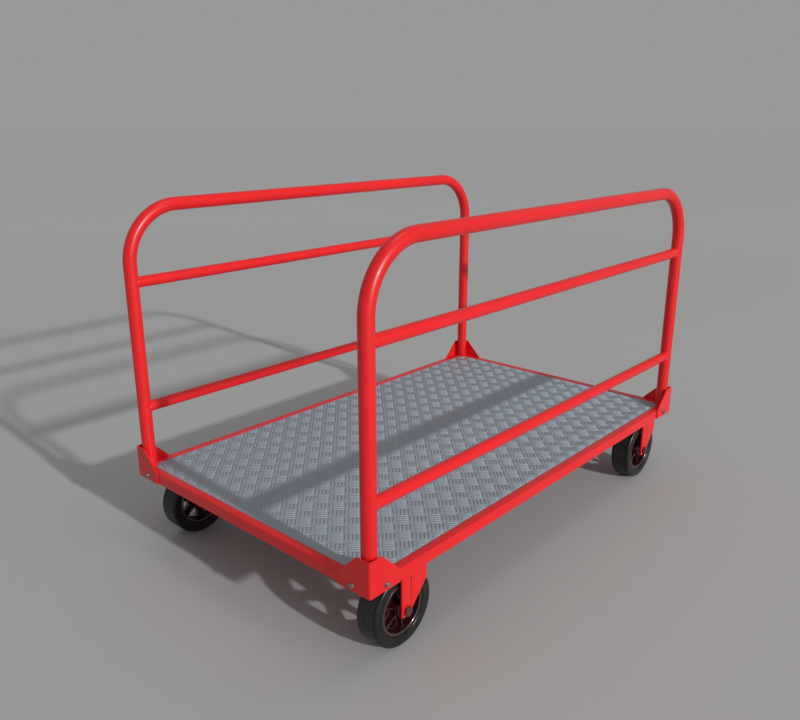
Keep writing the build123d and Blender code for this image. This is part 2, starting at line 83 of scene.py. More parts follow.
LIP_ROUND, LIP_SINK = 0.75, 0.62  # rise and drop of the rim's round edge, to half its thickness
BAR_POINTS = 12  # round one raised bar
BAR_LEVELS = ((0.0, -0.25), (0.16, 0.66), (0.30, 0.94), (0.52, 1.0))  # inset and rise, as shares
DIAGONAL = math.sqrt(0.5)
TRACK_RADIUS, BALL_RISE, GROOVE_RADIUS = 19.5e-3, 3.5e-3, 2.6e-3  # the balls' track in the race ring
RACE_EDGE = 0.0004  # chamfer of the race ring
PER_BLOCK = 4  # points to each diamond of the tread, round it and across it
RIDGE = 0.40  # how wide the slope of a tread diamond is, as a share of its pitch
TREAD_FADE, TREAD_DEPTH = 0.002, 0.0012  # where the grooves die out on the shoulder
WALL_LINE = ((0.004, 0.0), (0.0046, 0.0003), (0.0054, 0.0003), (0.0060, 0.0))  # drop and inset
WALL_FOOT = ((0.0035, 0.0), (0.0018, 0.0006), (0.0006, 0.0016), (0.0, 0.0030))  # rise and inset
NAVE_EDGE = 0.001  # chamfer of the nave
RIB_DIPS = ((0.030, 0.96), (0.042, 0.88))  # radius, and height there as a share of a full rib
CAMERA_PLACE = (-1.4582, -1.2015, 0.9726)
CAMERA_AIM = (0.71102, 0.63775, -0.29619)

rail_low, rail_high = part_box("side_rail_left")
deck_low, deck_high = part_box("deck_plate")
hoop_low, hoop_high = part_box("hoop_left")
hoop_radius = (hoop_high.y - hoop_low.y) / 2
hoop_y = (hoop_high.y + hoop_low.y) / 2
post_x = hoop_high.x - hoop_radius


# ---------------------------------------------------------------- settings
def length(name, description, default):
    """A distance that a user may change."""
    unit = {"min": 0.0, "precision": 4, "subtype": "DISTANCE", "unit": "LENGTH"}
    return bpy.props.FloatProperty(name=name, description=description, default=default, **unit)


def count(name, description, default):
    """A whole number that a user may change."""
    return bpy.props.IntProperty(name=name, description=description, default=default, min=1)


def share(name, description, default):
    """A number from 0 to 1 that a user may change."""
    kind = {"min": 0.0, "max": 1.0, "subtype": "FACTOR"}
    return bpy.props.FloatProperty(name=name, description=description, default=default, **kind)


def angle(name, description, degrees):
    """An angle that a user may change."""
    turn = math.radians(degrees)
    return bpy.props.FloatProperty(name=name, description=description, default=turn, subtype="ANGLE")


def power(name, description, default):
    """A light's power that a user may change."""
    return bpy.props.FloatProperty(name=name, description=description, default=default, unit="POWER")


def colour(name, description, default):
    """A colour that a user may change."""
    kind = {"min": 0.0, "max": 1.0, "size": 3, "subtype": "COLOR"}
    return bpy.props.FloatVectorProperty(name=name, description=description, default=default, **kind)


class TruckBedSizes(bpy.types.PropertyGroup):
    rail_edge: length("Rail edge radius", "Outer corner radius of the box section", 0.0018)
    plate_edge: length("Plate edge radius", "Rounding of the tread plate's edges", 0.0004)
    bar_height: length("Bar height", "Height of the raised tread bars", 0.0010)
    bar_length: length("Bar length", "Length of one raised bar", 0.0245)
    bar_width: length("Bar width", "Width of one raised bar at its foot", 0.0048)
    bar_pitch: length("Bar pitch", "Distance between the bars of a group", 0.0080)
    group_pitch: length("Group pitch", "Distance between like groups, along and across the bed", 0.0468)
    member_edge: length("Cross member radius", "Outer corner radius of the cross members", 0.0025)


class TruckHoopSizes(bpy.types.PropertyGroup):
    bend: length("Bend radius", "Centreline radius of the two upper bends", 0.125)
    bead: length("Weld size", "Radius of the weld beads", 0.0021)
    ripple: share("Weld ripple", "How strongly the weld beads swell and narrow", 0.12)


class TruckBracketSizes(bpy.types.PropertyGroup):
    thickness: length("Thickness", "Thickness of the folded plate", 0.003)
    fold: length("Fold radius", "Outer radius of the fold", 0.0036)
    flat: length("Flat", "Level part of the wing's top, from the folded corner", 0.033)
    toe: length("Toe height", "Height of the wing's outer end", 0.025)
    corner: length("Corner radius", "Rounding of the plate's upper corners", 0.003)
    edge: length("Edge", "Rounding of the cut edges", 0.0005)
    bolt_offset: length("Bolt offset", "Folded corner to the bolt's centre", 0.044)
    bolt_flats: length("Bolt flats", "Width across the flats of the bracket bolts", 0.010)
    bolt_head: length("Bolt head", "Height of the bracket bolt heads", 0.004)
    bolt_radius: length("Bolt radius", "Radius of the bracket bolts", 0.003)
    washer: length("Washer radius", "Radius of the bracket washers", 0.006)
    washer_thickness: length("Washer thickness", "Thickness of the bracket washers", 0.0012)
    nut_height: length("Nut height", "Height of the bracket nuts", 0.005)


class TruckCastorSizes(bpy.types.PropertyGroup):
    thickness: length("Fork thickness", "Thickness of the pressed fork", 0.004)
    fold: length("Fork bend", "Outer radius of the fork's two bends", 0.0052)
    leg: length("Leg half width", "Half the width of a leg", 0.014)
    leg_corner: length("Leg corner", "Rounding of the leg's corners", 0.004)
    toe: length("Leg toe", "Height of the leg's outer end below the gusset", 0.008)
    gusset: length("Gusset rise", "Axle up to the top of the slanted edge", 0.047)
    pad: length("Pressed strip", "Height that the pressed strip stands proud", 0.001)
    pad_half: length("Pressed strip half width", "Half the width of the pressed strip", 0.0105)
    pad_rise: length("Pressed strip rise", "Axle up to the top of the pressed strip", 0.070)
    # Width of the dark tube laid beside the pressed strip as painted shade.
    shade_line: length("Shade line", "Width of the painted shade line beside the pressed strip", 0.0021)
    race_height: length("Race height", "Height of the lower race ring", 0.0025)
    race_outer: length("Race outer radius", "Outer radius of the ball race", 0.024)
    race_inner: length("Race inner radius", "Inner radius of the ball race", 0.015)
    axle: length("Axle radius", "Radius of the axle", 0.006)
    nut_flats: length("Axle flats", "Width across the flats of the axle nut and head", 0.018)
    nut_height: length("Axle nut height", "Height of the axle nut", 0.006)
    head_height: length("Axle head height", "Height of the axle bolt's head", 0.0075)
    fixing_flats: length("Fixing flats", "Width across the flats of the plate bolts", 0.013)
    fixing_radius: length("Fixing radius", "Radius of the plate bolts", 0.004)
    fixing_nut: length("Fixing nut height", "Height of the plate nuts", 0.004)
    fixing_head: length("Fixing head height", "Height of the plate bolt heads", 0.0053)
    fixing_x: length("Fixing span along", "Plate bolt spacing along the bed", 0.064)
    fixing_y: length("Fixing span across", "Plate bolt spacing across the bed", 0.032)


class TruckWheelSizes(bpy.types.PropertyGroup):
    tread_half: length("Tread half width", "Half the width of the flat tread", 0.0185)
    shoulder: length("Shoulder", "Height of the rounded shoulder", 0.0065)
    tyre_inner: length("Tyre inner radius", "Radius where the tyre sits on the rim", 0.057)
    groove: length("Groove depth", "Depth of the tread's fine grooves", 0.0014)
    blocks: count("Blocks round", "Diamond blocks round the tread", 76)
    rim_half: length("Rim half width", "Half the width of the rim", 0.0225)
    rim_inner: length("Rim inner radius", "Inner radius of the rim", 0.050)
    web_half: length("Web half thickness", "Half the thickness of the web", 0.005)
    rib_half: length("Rib half width", "Half the width of a rib, along the axle", 0.016)
    rib_thickness: length("Rib thickness", "Thickness of a rib", 0.004)
    nave: length("Nave radius", "Outer radius of the nave", 0.017)
    nave_half: length("Nave half length", "Half the length of the nave", 0.027)
    bore: length("Bore radius", "Bore of the nave", 0.009)
    spokes: count("Spokes", "Number of ribs", 6)
    phase: angle("Spoke phase", "Direction of the first rib, below level", 20.0)
    window_inner: length("Window start", "Radius where a window starts", 0.026)
    window_outer: length("Window end", "Radius where a window ends", 0.0455)
    window_half_inner: length("Window inner half width", "Half the width of a window nearest the nave", 0.005)
    window_half_outer: length("Window outer half width", "Half the width of a window nearest the rim", 0.015)


class TruckColours(bpy.types.PropertyGroup):
    paint: colour("Paint", "Red powder coat", (0.80, 0.012, 0.015))
    paint_deep: colour("Paint, deep", "The same red where it is thicker", (0.70, 0.008, 0.011))
    scuff: colour("Scuff", "Paint that has been rubbed pale", (0.86, 0.22, 0.20))
    plate: colour("Tread plate", "Coated steel of the bed", (0.35, 0.405, 0.465))
    # Darkens the low ground between the bars: partly grime, partly painted shade.
    plate_dirt_and_shade: colour("Plate dirt and shade", "Grime and painted shade between the bars", (0.17, 0.19, 0.215))
    plate_worn: colour("Plate, worn", "Polished tops of the bars", (0.56, 0.60, 0.64))
    zinc: colour("Zinc", "Plated fasteners", (0.38, 0.36, 0.35))
    zinc_dull: colour("Zinc, dull", "Plated steel that has weathered", (0.21, 0.18, 0.17))
    axle: colour("Axle steel", "Darkened steel of the axle nuts and bolts", (0.13, 0.05, 0.04))
    rubber: colour("Rubber", "Solid tyre", (0.006, 0.0065, 0.0065))
    rubber_dust: colour("Rubber dust", "Dust on the tyre", (0.032, 0.031, 0.030))
    # Grey of the tread tops: partly wear, partly a painted highlight.
    tread_tops_worn_and_lit: colour("Tread tops", "Tread rubber, grey from rubbing and from a painted highlight", (0.21, 0.215, 0.205))
    # The maroon tint is a painted reflection of the red fork and frame on black moulding.
    moulding_and_reflection: colour("Moulding", "Black wheel centre with a painted red reflection", (0.030, 0.0045, 0.0065))
    # Painted reflection: reddish-brown, lighter than the moulding.
    lip: colour("Lip", "Lip of the wheel centre, with a painted red reflection", (0.046, 0.019, 0.018))
    # Colour of the dark tube beside the fork's pressed strip: painted shade.
    shade_line: colour("Shade line", "Painted shade beside the fork's pressed strip", (0.11, 0.002, 0.003))
    bush: colour("Bush", "Dark nylon of the bush", (0.035, 0.033, 0.032))
    ball: colour("Ball steel", "Polished steel of the bearing balls", (0.62, 0.62, 0.63))
    grease: colour("Grease", "Grease on the bearing", (0.09, 0.065, 0.035))


class TruckStageSettings(bpy.types.PropertyGroup):
    # Darker than the far floor: painted shade evening out the lamps' light near the truck.
    floor: colour("Floor", "Plain pale floor near the truck", (0.50, 0.50, 0.50))
    floor_far: colour("Floor, far", "The floor where it meets the surround", (0.56, 0.56, 0.56))
    floor_radius: length("Floor radius", "Radius of the floor", 60.0)
    key_strength: bpy.props.FloatProperty(
        name="Key light", description="Strength of the side light", default=2.15
    )
    key_spread: angle("Key spread", "How wide the side light looks, which softens the shadows", 1.8)
    top_energy: power("Top light", "Power of the overhead light", 9.0)
    top_size: length("Top light size", "Side of the square overhead light", 1.2)
    box_energy: power("Soft box", "Power of the large soft box at the side", 48.0)
    box_size: length("Soft box size", "Side of the square soft box", 3.4)
    surround: colour("Surround", "Even grey all round", (0.312, 0.312, 0.312))
    lens: bpy.props.FloatProperty(
        name="Lens", description="Focal length in millimetres", default=35.0, subtype="DISTANCE_CAMERA"
    )


# ---------------------------------------------------------------- mesh making
def centre_of(node):
    """The middle of a CAD node's box."""
    low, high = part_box(node)
    return (low + high) / 2


def square_to(axis):
    """Two directions square to an axis and to each other."""
    axis = Vector(axis).normalized()
    guide = UP if abs(axis.z) < 0.9 else ALONG
    across = guide.cross(axis).normalized()
    return across, axis.cross(across)


def ring_of(centre, across, up, radius, segments):
    """Points round a circle in the plane of two directions."""
    turns = [math.tau * step / segments for step in range(segments)]
    return [centre + radius * (math.cos(turn) * across + math.sin(turn) * up) for turn in turns]


def circle(centre, axis, radius, segments):
    """Points round a circle about an axis."""
    return ring_of(Vector(centre), *square_to(axis), radius, segments)


def skin(bm, rings, looped=False):
    """Skins a run of equal rings with quads, and closes its ends unless it is looped."""
    rows = [[bm.verts.new(point) for point in ring] for ring in rings]
    size = len(rows[0])
    following = rows[1:] + rows[:1] if looped else rows[1:]
    for low, high in zip(rows, following):
        for step in range(size):
            after = (step + 1) % size
            bm.faces.new((low[step], low[after], high[after], high[step]))
    if not looped:
        bm.faces.new(rows[0][::-1])
        bm.faces.new(rows[-1])


def turned(bm, profile, centre, axis, segments, looped=True):
    """Turns a profile of (radius, distance along the axis) about an axis."""
    axis = Vector(axis).normalized()
    rings = [circle(Vector(centre) + axis * along, axis, radius, segments) for radius, along in profile]
    skin(bm, rings, looped)


def travel(points, looped):
    """The direction of a path at each of its points."""
    before = [points[-1] if looped else points[0]] + points[:-1]
    after = points[1:] + [points[0] if looped else points[-1]]
    return [(last - first).normalized() for first, last in zip(before, after)]


def swept(bm, points, radius, segments, side):
    """A round tube along points that lie in one plane; side is square to that plane."""
    directions = travel(points, False)
    rings = []
    for point, along in zip(points, directions):
        rings.append(ring_of(point, along.cross(side).normalized(), side, radius, segments))
    skin(bm, rings)


def bead(bm, points, normals, radius, ripple, looped=True):
    """A weld bead with its ripples, along points on a seam."""
    rings = []
    travelled = 0.0
    directions = travel(points, looped)
    for step, (point, normal, along) in enumerate(zip(points, normals, directions)):
        if step:
            travelled += (point - points[step - 1]).length
        swell = radius * (1 + ripple * math.sin(math.tau * travelled / BEAD_WAVE))
        rings.append(ring_of(point, along.cross(normal).normalized(), normal, swell, 10))
    skin(bm, rings, looped)


def rounded(corners, radii, steps=5):
    """A flat outline with its corners rounded; radii is one number, or one for each corner."""
    if not isinstance(radii, list):
        radii = [radii] * len(corners)
    corners = [Vector(corner) for corner in corners]
    outline = []
    for index, (corner, radius) in enumerate(zip(corners, radii)):
        back = corners[index - 1] - corner
        ahead = corners[(index + 1) % len(corners)] - corner
        if radius <= 0:
            outline.append(corner)
            continue
        half = back.angle(ahead) / 2
        reach = radius / math.tan(half)
        start, end = corner + back.normalized() * reach, corner + ahead.normalized() * reach
        centre = corner + (back.normalized() + ahead.normalized()).normalized() * radius / math.sin(half)
        arm = start - centre
        sweep = arm.angle_signed(end - centre)
        for step in range(steps + 1):
            cosine, sine = math.cos(-sweep * step / steps), math.sin(-sweep * step / steps)
            outline.append(centre + Vector((arm.x * cosine - arm.y * sine, arm.x * sine + arm.y * cosine)))
    return outline


def thickened(bm, flat, place):
    """Both faces and the cut edges of a flat mesh; place(point, depth) puts a point on face 0 or 1."""
    flat.verts.index_update()
    outer = [bm.verts.new(place(vert.co, 0)) for vert in flat.verts]
    inner = [bm.verts.new(place(vert.co, 1)) for vert in flat.verts]
    for face in flat.faces:
        order = [vert.index for vert in face.verts]
        bm.faces.new([outer[index] for index in order])
        bm.faces.new([inner[index] for index in reversed(order)])
    for edge in flat.edges:
        if edge.is_boundary:
            first, second = (vert.index for vert in edge.verts)
            bm.faces.new((outer[first], outer[second], inner[second], inner[first]))
    flat.free()


def folded_sheet(bm, outline, cuts, bend):
    """Cuts a flat blank at its bend stations, then bends it with bend(along, across, depth)."""
    blank = bmesh.new()
    blank.faces.new([blank.verts.new((point[0], point[1], 0)) for point in outline])
    for cut in cuts:
        everything = blank.verts[:] + blank.edges[:] + blank.faces[:]
        bmesh.ops.bisect_plane(blank, geom=everything, dist=1e-7, plane_co=(cut, 0, 0), plane_no=ALONG)
    thickened(bm, blank, lambda point, depth: bend(point.x, point.y, depth))


def hexagon(bm, seat, axis, flats, height, bore=0.0, per_side=6, hollow=0.0):
    """A bolt head, or a nut when it has a bore, with its corners chamfered as a lathe leaves them."""
    across, up = square_to(axis)
    half = flats / 2
    flat_radius = half * HEAD_FACE
    low, middle_low, middle_high, high, bore_low, bore_high = ([] for _ in range(6))
    for step in range(6 * per_side):
        turn = math.tau * step / (6 * per_side)
        radius = half / math.cos((turn % (math.tau / 6)) - math.tau / 12)
        drop = max(0.0, (radius - flat_radius) * math.tan(NUT_CHAMFER))
        direction = math.cos(turn) * across + math.sin(turn) * up
        low.append(seat + direction * (min(radius, flat_radius) if bore else radius))
        middle_low.append(seat + direction * radius + axis * (drop if bore else HEAD_FOOT))
        middle_high.append(seat + direction * radius + axis * (height - drop))
        high.append(seat + direction * flat_radius + axis * height)
        bore_low.append(seat + direction * bore)
        bore_high.append(seat + direction * bore + axis * height)
    if bore:
        skin(bm, [low, middle_low, middle_high, high, bore_high, bore_low], looped=True)
    else:
        middle, top = seat + axis * (height - hollow), seat + axis * height
        dish = [middle + (point - top) * HEAD_DISH for point in high]
        skin(bm, [low, middle_low, middle_high, high, dish])


def threaded_end(bm, seat, axis, radius, reach, pitch, segments):
    """The end of a thread: a short run of ridges and a chamfer."""
    profile = [(radius * 0.98, 0.0)]
    along = 0.0
    while along + pitch < reach:
        profile += [(radius, along + pitch * 0.25), (radius * 0.9, along + pitch * 0.75)]
        along += pitch
    profile += [(radius * 0.92, reach - pitch * 0.2), (radius * 0.8, reach)]
    turned(bm, profile, seat, axis, segments, looped=False)


def piece(bm, name, finish, body, nodes=(), bevel=0.0, sharp=SHARP_ANGLE, place=(0, 0, 0)):
    """Makes an object of a mesh, gives it its finish and its body, and hides the CAD nodes that it stands
    for.
    """
    if isinstance(bm, bpy.types.Mesh):
        mesh = bm
    else:
        bmesh.ops.recalc_face_normals(bm, faces=bm.faces[:])
        mesh = bpy.data.meshes.new(name)
        bm.to_mesh(mesh)
        bm.free()
    mesh.shade_smooth()
    mesh.set_sharp_from_angle(angle=sharp)
    mesh.materials.append(material(finish))
    made = bpy.data.objects.new(name, mesh)
    made.location = place
    bpy.context.scene.collection.objects.link(made)
    if bevel:
        rounding = made.modifiers.new("edge rounding", "BEVEL")
        rounding.width = bevel
        rounding.segments = 2
        rounding.limit_method = "ANGLE"
        rounding.angle_limit = BEVEL_ANGLE
        rounding.harden_normals = True
    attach(made, body)
    if nodes:
        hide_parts(*nodes)


def frame_piece(bm, name, node, bevel=0.0):
    """A red piece that is welded or bolted to the frame."""
    piece(bm, name, "red paint", "frame", [node], bevel)


# ---------------------------------------------------------------- materials
class Field:
    """A number that changes over a surface: a node's output with arithmetic."""

    def __init__(self, finish, socket):
        self.finish = finish
        self.socket = socket

    def math(self, operation, first, second, clamp=False):
        """The two values put through a Math node."""
        settings = {"operation": operation, "use_clamp": clamp}
        return self.finish.node("ShaderNodeMath", settings, {0: first, 1: second})

    def __add__(self, other):
        return self.math("ADD", self, other)

    def __radd__(self, other):
        return self.math("ADD", other, self)

    def __sub__(self, other):
        return self.math("SUBTRACT", self, other)

    def __rsub__(self, other):
        return self.math("SUBTRACT", other, self)

    def __mul__(self, other):
        return self.math("MULTIPLY", self, other)

    def __rmul__(self, other):
        return self.math("MULTIPLY", other, self)

    def __pow__(self, other):
        return self.math("POWER", self, other)

    def limited(self):
        """The same value, kept from 0 to 1."""
        return self.math("ADD", self, 0.0, clamp=True)


class Finish:
    """A procedural material and the nodes that make it."""

    def __init__(self, name):
        self.material = bpy.data.materials.new(name)
        self.material.use_nodes = True
        self.tree = self.material.node_tree
        self.tree.nodes.clear()
        output = self.tree.nodes.new("ShaderNodeOutputMaterial")
        self.shader = self.tree.nodes.new("ShaderNodeBsdfPrincipled")
        self.tree.links.new(self.shader.outputs[0], output.inputs[0])
        self.place = self.node("ShaderNodeTexCoord", output=3)

    def node(self, kind, settings=None, inputs=None, output=0):
        """Any node: its type, its settings, and the values or links of its sockets."""
        made = self.tree.nodes.new(kind)
        for key, value in (settings or {}).items():
            if key == "stops":
                stops = made.color_ramp.elements
                while len(stops) < len(value):
                    stops.new(0.5)
                for stop, (position, shade) in zip(stops, value):
                    stop.position = position
                    stop.color = (shade, shade, shade, 1.0)
            else:
                setattr(made, key, value)
        for key, value in (inputs or {}).items():
            self.feed(made.inputs[key], value)
        return Field(self, made.outputs[output])

    def feed(self, socket, value):
        """Links a field to a socket, or sets the socket's own value."""
        if isinstance(value, Field):
            self.tree.links.new(value.socket, socket)
        elif socket.type == "RGBA" and len(value) == 3:
            socket.default_value = (*value, 1.0)
        else:
            socket.default_value = value

    def set(self, **values):
        """Sets the shader's sockets: underscores stand for spaces."""
        for key, value in values.items():
            self.feed(self.shader.inputs[key.replace("_", " ")], value)

    def noise(self, scale, detail=3.0, roughness=0.5, stretch=None, distortion=0.0):
        """Cloudy noise; scale is in blobs to the metre."""
        place = self.place
        if stretch:
            place = self.node("ShaderNodeVectorMath", {"operation": "MULTIPLY"}, {0: place, 1: stretch})
        inputs = {"Vector": place, "Scale": scale, "Detail": detail, "Roughness": roughness}
        inputs["Distortion"] = distortion
        return self.node("ShaderNodeTexNoise", {"noise_dimensions": "3D"}, inputs)

    def ramp(self, value, *stops):
        """A value passed through stops of (position, shade)."""
        return self.node("ShaderNodeValToRGB", {"stops": stops}, {0: value})

    def blend(self, factor, first, second):
        """One colour going over to another."""
        return self.node("ShaderNodeMix", {"data_type": "RGBA"}, {0: factor, 6: first, 7: second}, output=2)

    def part(self, axis):
        """One coordinate of the place on the surface, in metres."""
        return self.node("ShaderNodeSeparateXYZ", inputs={0: self.place}, output="XYZ".index(axis))

    def relief(self, height, distance, strength=1.0):
        """Bumps on the surface."""
        inputs = {"Height": height, "Distance": distance, "Strength": strength}
        self.set(Normal=self.node("ShaderNodeBump", inputs=inputs))


def red_paint(colours, name):
    """Semi-gloss red powder coat: orange peel, slight unevenness and faint scuffs."""
    finish = Finish(name)
    cloud = finish.noise(7.0, 4.0)
    thick = finish.ramp(cloud, (0.35, 0.0), (0.70, 1.0))
    scuff = finish.ramp(finish.noise(26.0, 6.0, 0.62, stretch=(1.0, 1.0, 6.0)), (0.62, 0.0), (0.74, 1.0))
    rubbed = (scuff * finish.ramp(finish.noise(9.0, 2.0), (0.45, 0.0), (0.62, 1.0))).limited()
    tone = finish.blend(thick * 0.55, colours.paint, colours.paint_deep)
    tone = finish.blend(rubbed * 0.10, tone, colours.scuff)
    peel = finish.noise(620.0, 1.5, 0.4)
    grain = finish.noise(2600.0, 1.0)
    finish.set(Base_Color=tone, Roughness=(cloud * 0.10 + rubbed * 0.14 + peel * 0.06 + 0.25).limited())
    finish.set(IOR=1.45, Coat_Weight=0.06, Coat_Roughness=0.12)
    finish.relief(peel + grain * 0.18, 0.00007, 0.55)
    return finish.material


def tread_plate(colours, name):
    """Grey coated tread plate: polished bar tops, grime and painted shade between the bars, scratches from
    loads.
    """
    finish = Finish(name)
    height = (finish.part("Z") - deck_high.z) * (1.0 / bpy.context.scene.truck_bed.bar_height)
    cloud = finish.noise(5.0, 5.0, 0.6)
    patch = finish.noise(38.0, 4.0, 0.6)
    fine = finish.noise(900.0, 2.0)
    scratch = finish.ramp(finish.noise(30.0, 5.0, 0.7, stretch=(0.12, 3.2, 1.0)), (0.60, 0.0), (0.70, 1.0))
    along = finish.ramp(finish.noise(24.0, 5.0, 0.7, stretch=(3.0, 0.10, 1.0)), (0.62, 0.0), (0.71, 1.0))
    worn = (finish.ramp(height, (0.55, 0.0), (0.95, 1.0)) * (0.45 + patch * 0.9)).limited()
    # Low ground between the bars is darkened in patches: partly grime, partly painted shade where the bars
    # would shadow it.
    low = 1.0 - finish.ramp(height, (0.0, 0.0), (0.5, 1.0))
    grime_and_shade = (low * finish.ramp(cloud + patch * 0.4, (0.5, 0.0), (0.95, 1.0))).limited()
    tone = finish.blend(grime_and_shade * 0.20, colours.plate, colours.plate_dirt_and_shade)
    tone = finish.blend((worn * 0.03 + (scratch + along) * 0.12).limited(), tone, colours.plate_worn)
    finish.set(Base_Color=tone, Metallic=(worn * 0.04 + 0.22).limited())
    finish.set(Roughness=(0.40 + cloud * 0.12 + grime_and_shade * 0.12 - worn * 0.03 + fine * 0.05).limited())
    finish.relief(fine + scratch * 0.6 + along * 0.6, 0.00005, 0.6)
    return finish.material


def zinc_plate(colours, name):
    """Bright zinc plating that has dulled in patches."""
    finish = Finish(name)
    patch = finish.ramp(finish.noise(160.0, 5.0, 0.65), (0.38, 0.0), (0.66, 1.0))
    fine = finish.noise(2200.0, 2.0)
    finish.set(Base_Color=finish.blend(patch * 0.8, colours.zinc, colours.zinc_dull), Metallic=0.88)
    finish.set(Roughness=(0.26 + patch * 0.22 + fine * 0.08).limited())
    finish.relief(fine, 0.00003, 0.5)
    return finish.material


def dull_steel(colours, name):
    """Plated pressed steel of the castor heads: dull, with grease marks and drag lines."""
    finish = Finish(name)
    patch = finish.ramp(finish.noise(60.0, 5.0, 0.6), (0.35, 0.0), (0.70, 1.0))
    drag = finish.noise(90.0, 3.0, 0.6, stretch=(1.0, 14.0, 1.0))
    tone = finish.blend(patch * 0.7, colours.zinc_dull, colours.zinc)
    grease = finish.ramp(finish.noise(45.0, 4.0), (0.56, 0.0), (0.70, 1.0))
    tone = finish.blend(grease * 0.6, tone, colours.grease)
    finish.set(Base_Color=tone, Metallic=(0.85 - grease * 0.4).limited())
    finish.set(Roughness=(0.34 + drag * 0.18 + patch * 0.08 - grease * 0.12).limited())
    finish.relief(drag, 0.00004, 0.5)
    return finish.material


def bearing_steel(colours, name):
    """Polished balls with a film of grease."""
    finish = Finish(name)
    film = finish.ramp(finish.noise(420.0, 4.0), (0.45, 0.0), (0.62, 1.0))
    tone = finish.blend(film * 0.5, colours.ball, colours.grease)
    finish.set(Base_Color=tone, Metallic=(1.0 - film * 0.35).limited())
    finish.set(Roughness=(0.10 + film * 0.22).limited())
    finish.relief(film, 0.00002, 0.4)
    return finish.material


def axle_steel(colours, name):
    """Darkened steel of the axle bolts and nuts, brighter in patches."""
    finish = Finish(name)
    patch = finish.ramp(finish.noise(230.0, 5.0, 0.62), (0.40, 0.0), (0.68, 1.0))
    turning = finish.noise(420.0, 2.0, stretch=(1.0, 9.0, 1.0))
    finish.set(Base_Color=finish.blend(patch * 0.35, colours.axle, colours.zinc_dull), Metallic=0.60)
    finish.set(Roughness=(0.30 + patch * 0.18 + turning * 0.10).limited())
    finish.relief(turning, 0.00004, 0.5)
    return finish.material


def tyre_rubber(colours, name):
    """Black rubber with a fine skin; the tread's blocks are grey, partly rubbed and partly a painted
    highlight, and its grooves stay black.
    """
    finish = Finish(name)
    low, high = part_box("tyre_front_left")
    outer = (high.z - low.z) / 2
    sizes = bpy.context.scene.truck_wheels
    depth = (outer - (finish.part("X") ** 2.0 + finish.part("Z") ** 2.0) ** 0.5) * (1.0 / sizes.groove)
    across = (finish.part("Y") ** 2.0) ** 0.5 * (1.0 / sizes.tread_half)
    tread = 1.0 - finish.ramp(across, (0.92, 0.0), (0.98, 1.0))
    tops = (1.0 - finish.ramp(depth, (0.08, 0.0), (0.35, 1.0))) * tread
    cloud = finish.noise(22.0, 5.0, 0.6)
    fine = finish.noise(1400.0, 2.0)
    dust = finish.ramp(cloud + finish.noise(260.0, 3.0) * 0.35, (0.58, 0.0), (0.92, 1.0))
    tone = finish.blend(dust * 0.55, colours.rubber, colours.rubber_dust)
    # Block tops painted grey: partly wear, partly a painted highlight on the diamonds.
    tone = finish.blend((tops * (0.35 + cloud)).limited(), tone, colours.tread_tops_worn_and_lit)
    finish.set(Base_Color=tone, Specular_IOR_Level=0.36)
    finish.set(Roughness=(0.19 + dust * 0.28 + fine * 0.08 + tops * 0.2).limited())
    finish.relief(fine + cloud * 0.4, 0.00008, 0.6)
    return finish.material


def moulded_centre(colours, name):
    """Glossy black moulding whose dark maroon tint is a painted reflection of the red fork and frame, with
    flow marks and a little dust.
    """
    finish = Finish(name)
    flow = finish.noise(36.0, 3.0, 0.5, distortion=1.2)
    fine = finish.noise(1100.0, 1.5)
    dust = finish.ramp(finish.noise(120.0, 5.0, 0.65), (0.52, 0.0), (0.78, 1.0))
    # The base colour carries a painted red reflection.
    tone = finish.blend((dust * 0.18).limited(), colours.moulding_and_reflection, colours.rubber_dust)
    finish.set(Base_Color=tone, Roughness=(0.20 + flow * 0.12 + dust * 0.18).limited())
    finish.set(IOR=1.52, Coat_Weight=0.30, Coat_Roughness=0.10)
    finish.relief(flow * 0.6 + fine * 0.3, 0.00006, 0.5)
    return finish.material


def polished_lip(colours, name):
    """The wheel centre's glossy outer lip; its reddish-brown base colour, lighter than the moulding, is a
    painted reflection of the red fork and frame, broken by patches.
    """
    finish = Finish(name)
    rub = finish.ramp(finish.noise(90.0, 4.0, 0.6), (0.35, 0.0), (0.70, 1.0))
    fine = finish.noise(1300.0, 1.5)
    # The lip's base colour is a painted red reflection.
    tone = finish.blend(rub * 0.6, colours.lip, colours.moulding_and_reflection)
    finish.set(Base_Color=tone, Roughness=(0.13 + rub * 0.10 + fine * 0.04).limited())
    finish.set(Metallic=0.20, IOR=1.7, Coat_Weight=0.8, Coat_Roughness=0.07)
    finish.relief(fine, 0.00003, 0.4)
    return finish.material


def painted_seam_shade(colours, name):
    """Painted shade: a dark line beside a pressed strip, where shade would fall in the crease."""
    finish = Finish(name)
    patch = finish.noise(240.0, 4.0, 0.6)
    tone = finish.blend(patch, colours.shade_line, colours.moulding_and_reflection)
    finish.set(Base_Color=tone, Roughness=(0.62 + patch * 0.2).limited())
    finish.relief(patch, 0.00006, 0.5)
    return finish.material


def bush_nylon(colours, name):
    """Matt nylon with turning marks."""
    finish = Finish(name)
    marks = finish.noise(500.0, 2.0, stretch=(1.0, 8.0, 1.0))
    patch = finish.noise(140.0, 4.0)
    tone = finish.blend(patch * 0.5, colours.bush, colours.rubber_dust)
    finish.set(Base_Color=tone, Roughness=(0.42 + marks * 0.18).limited())
    finish.relief(marks, 0.00005, 0.5)
    return finish.material


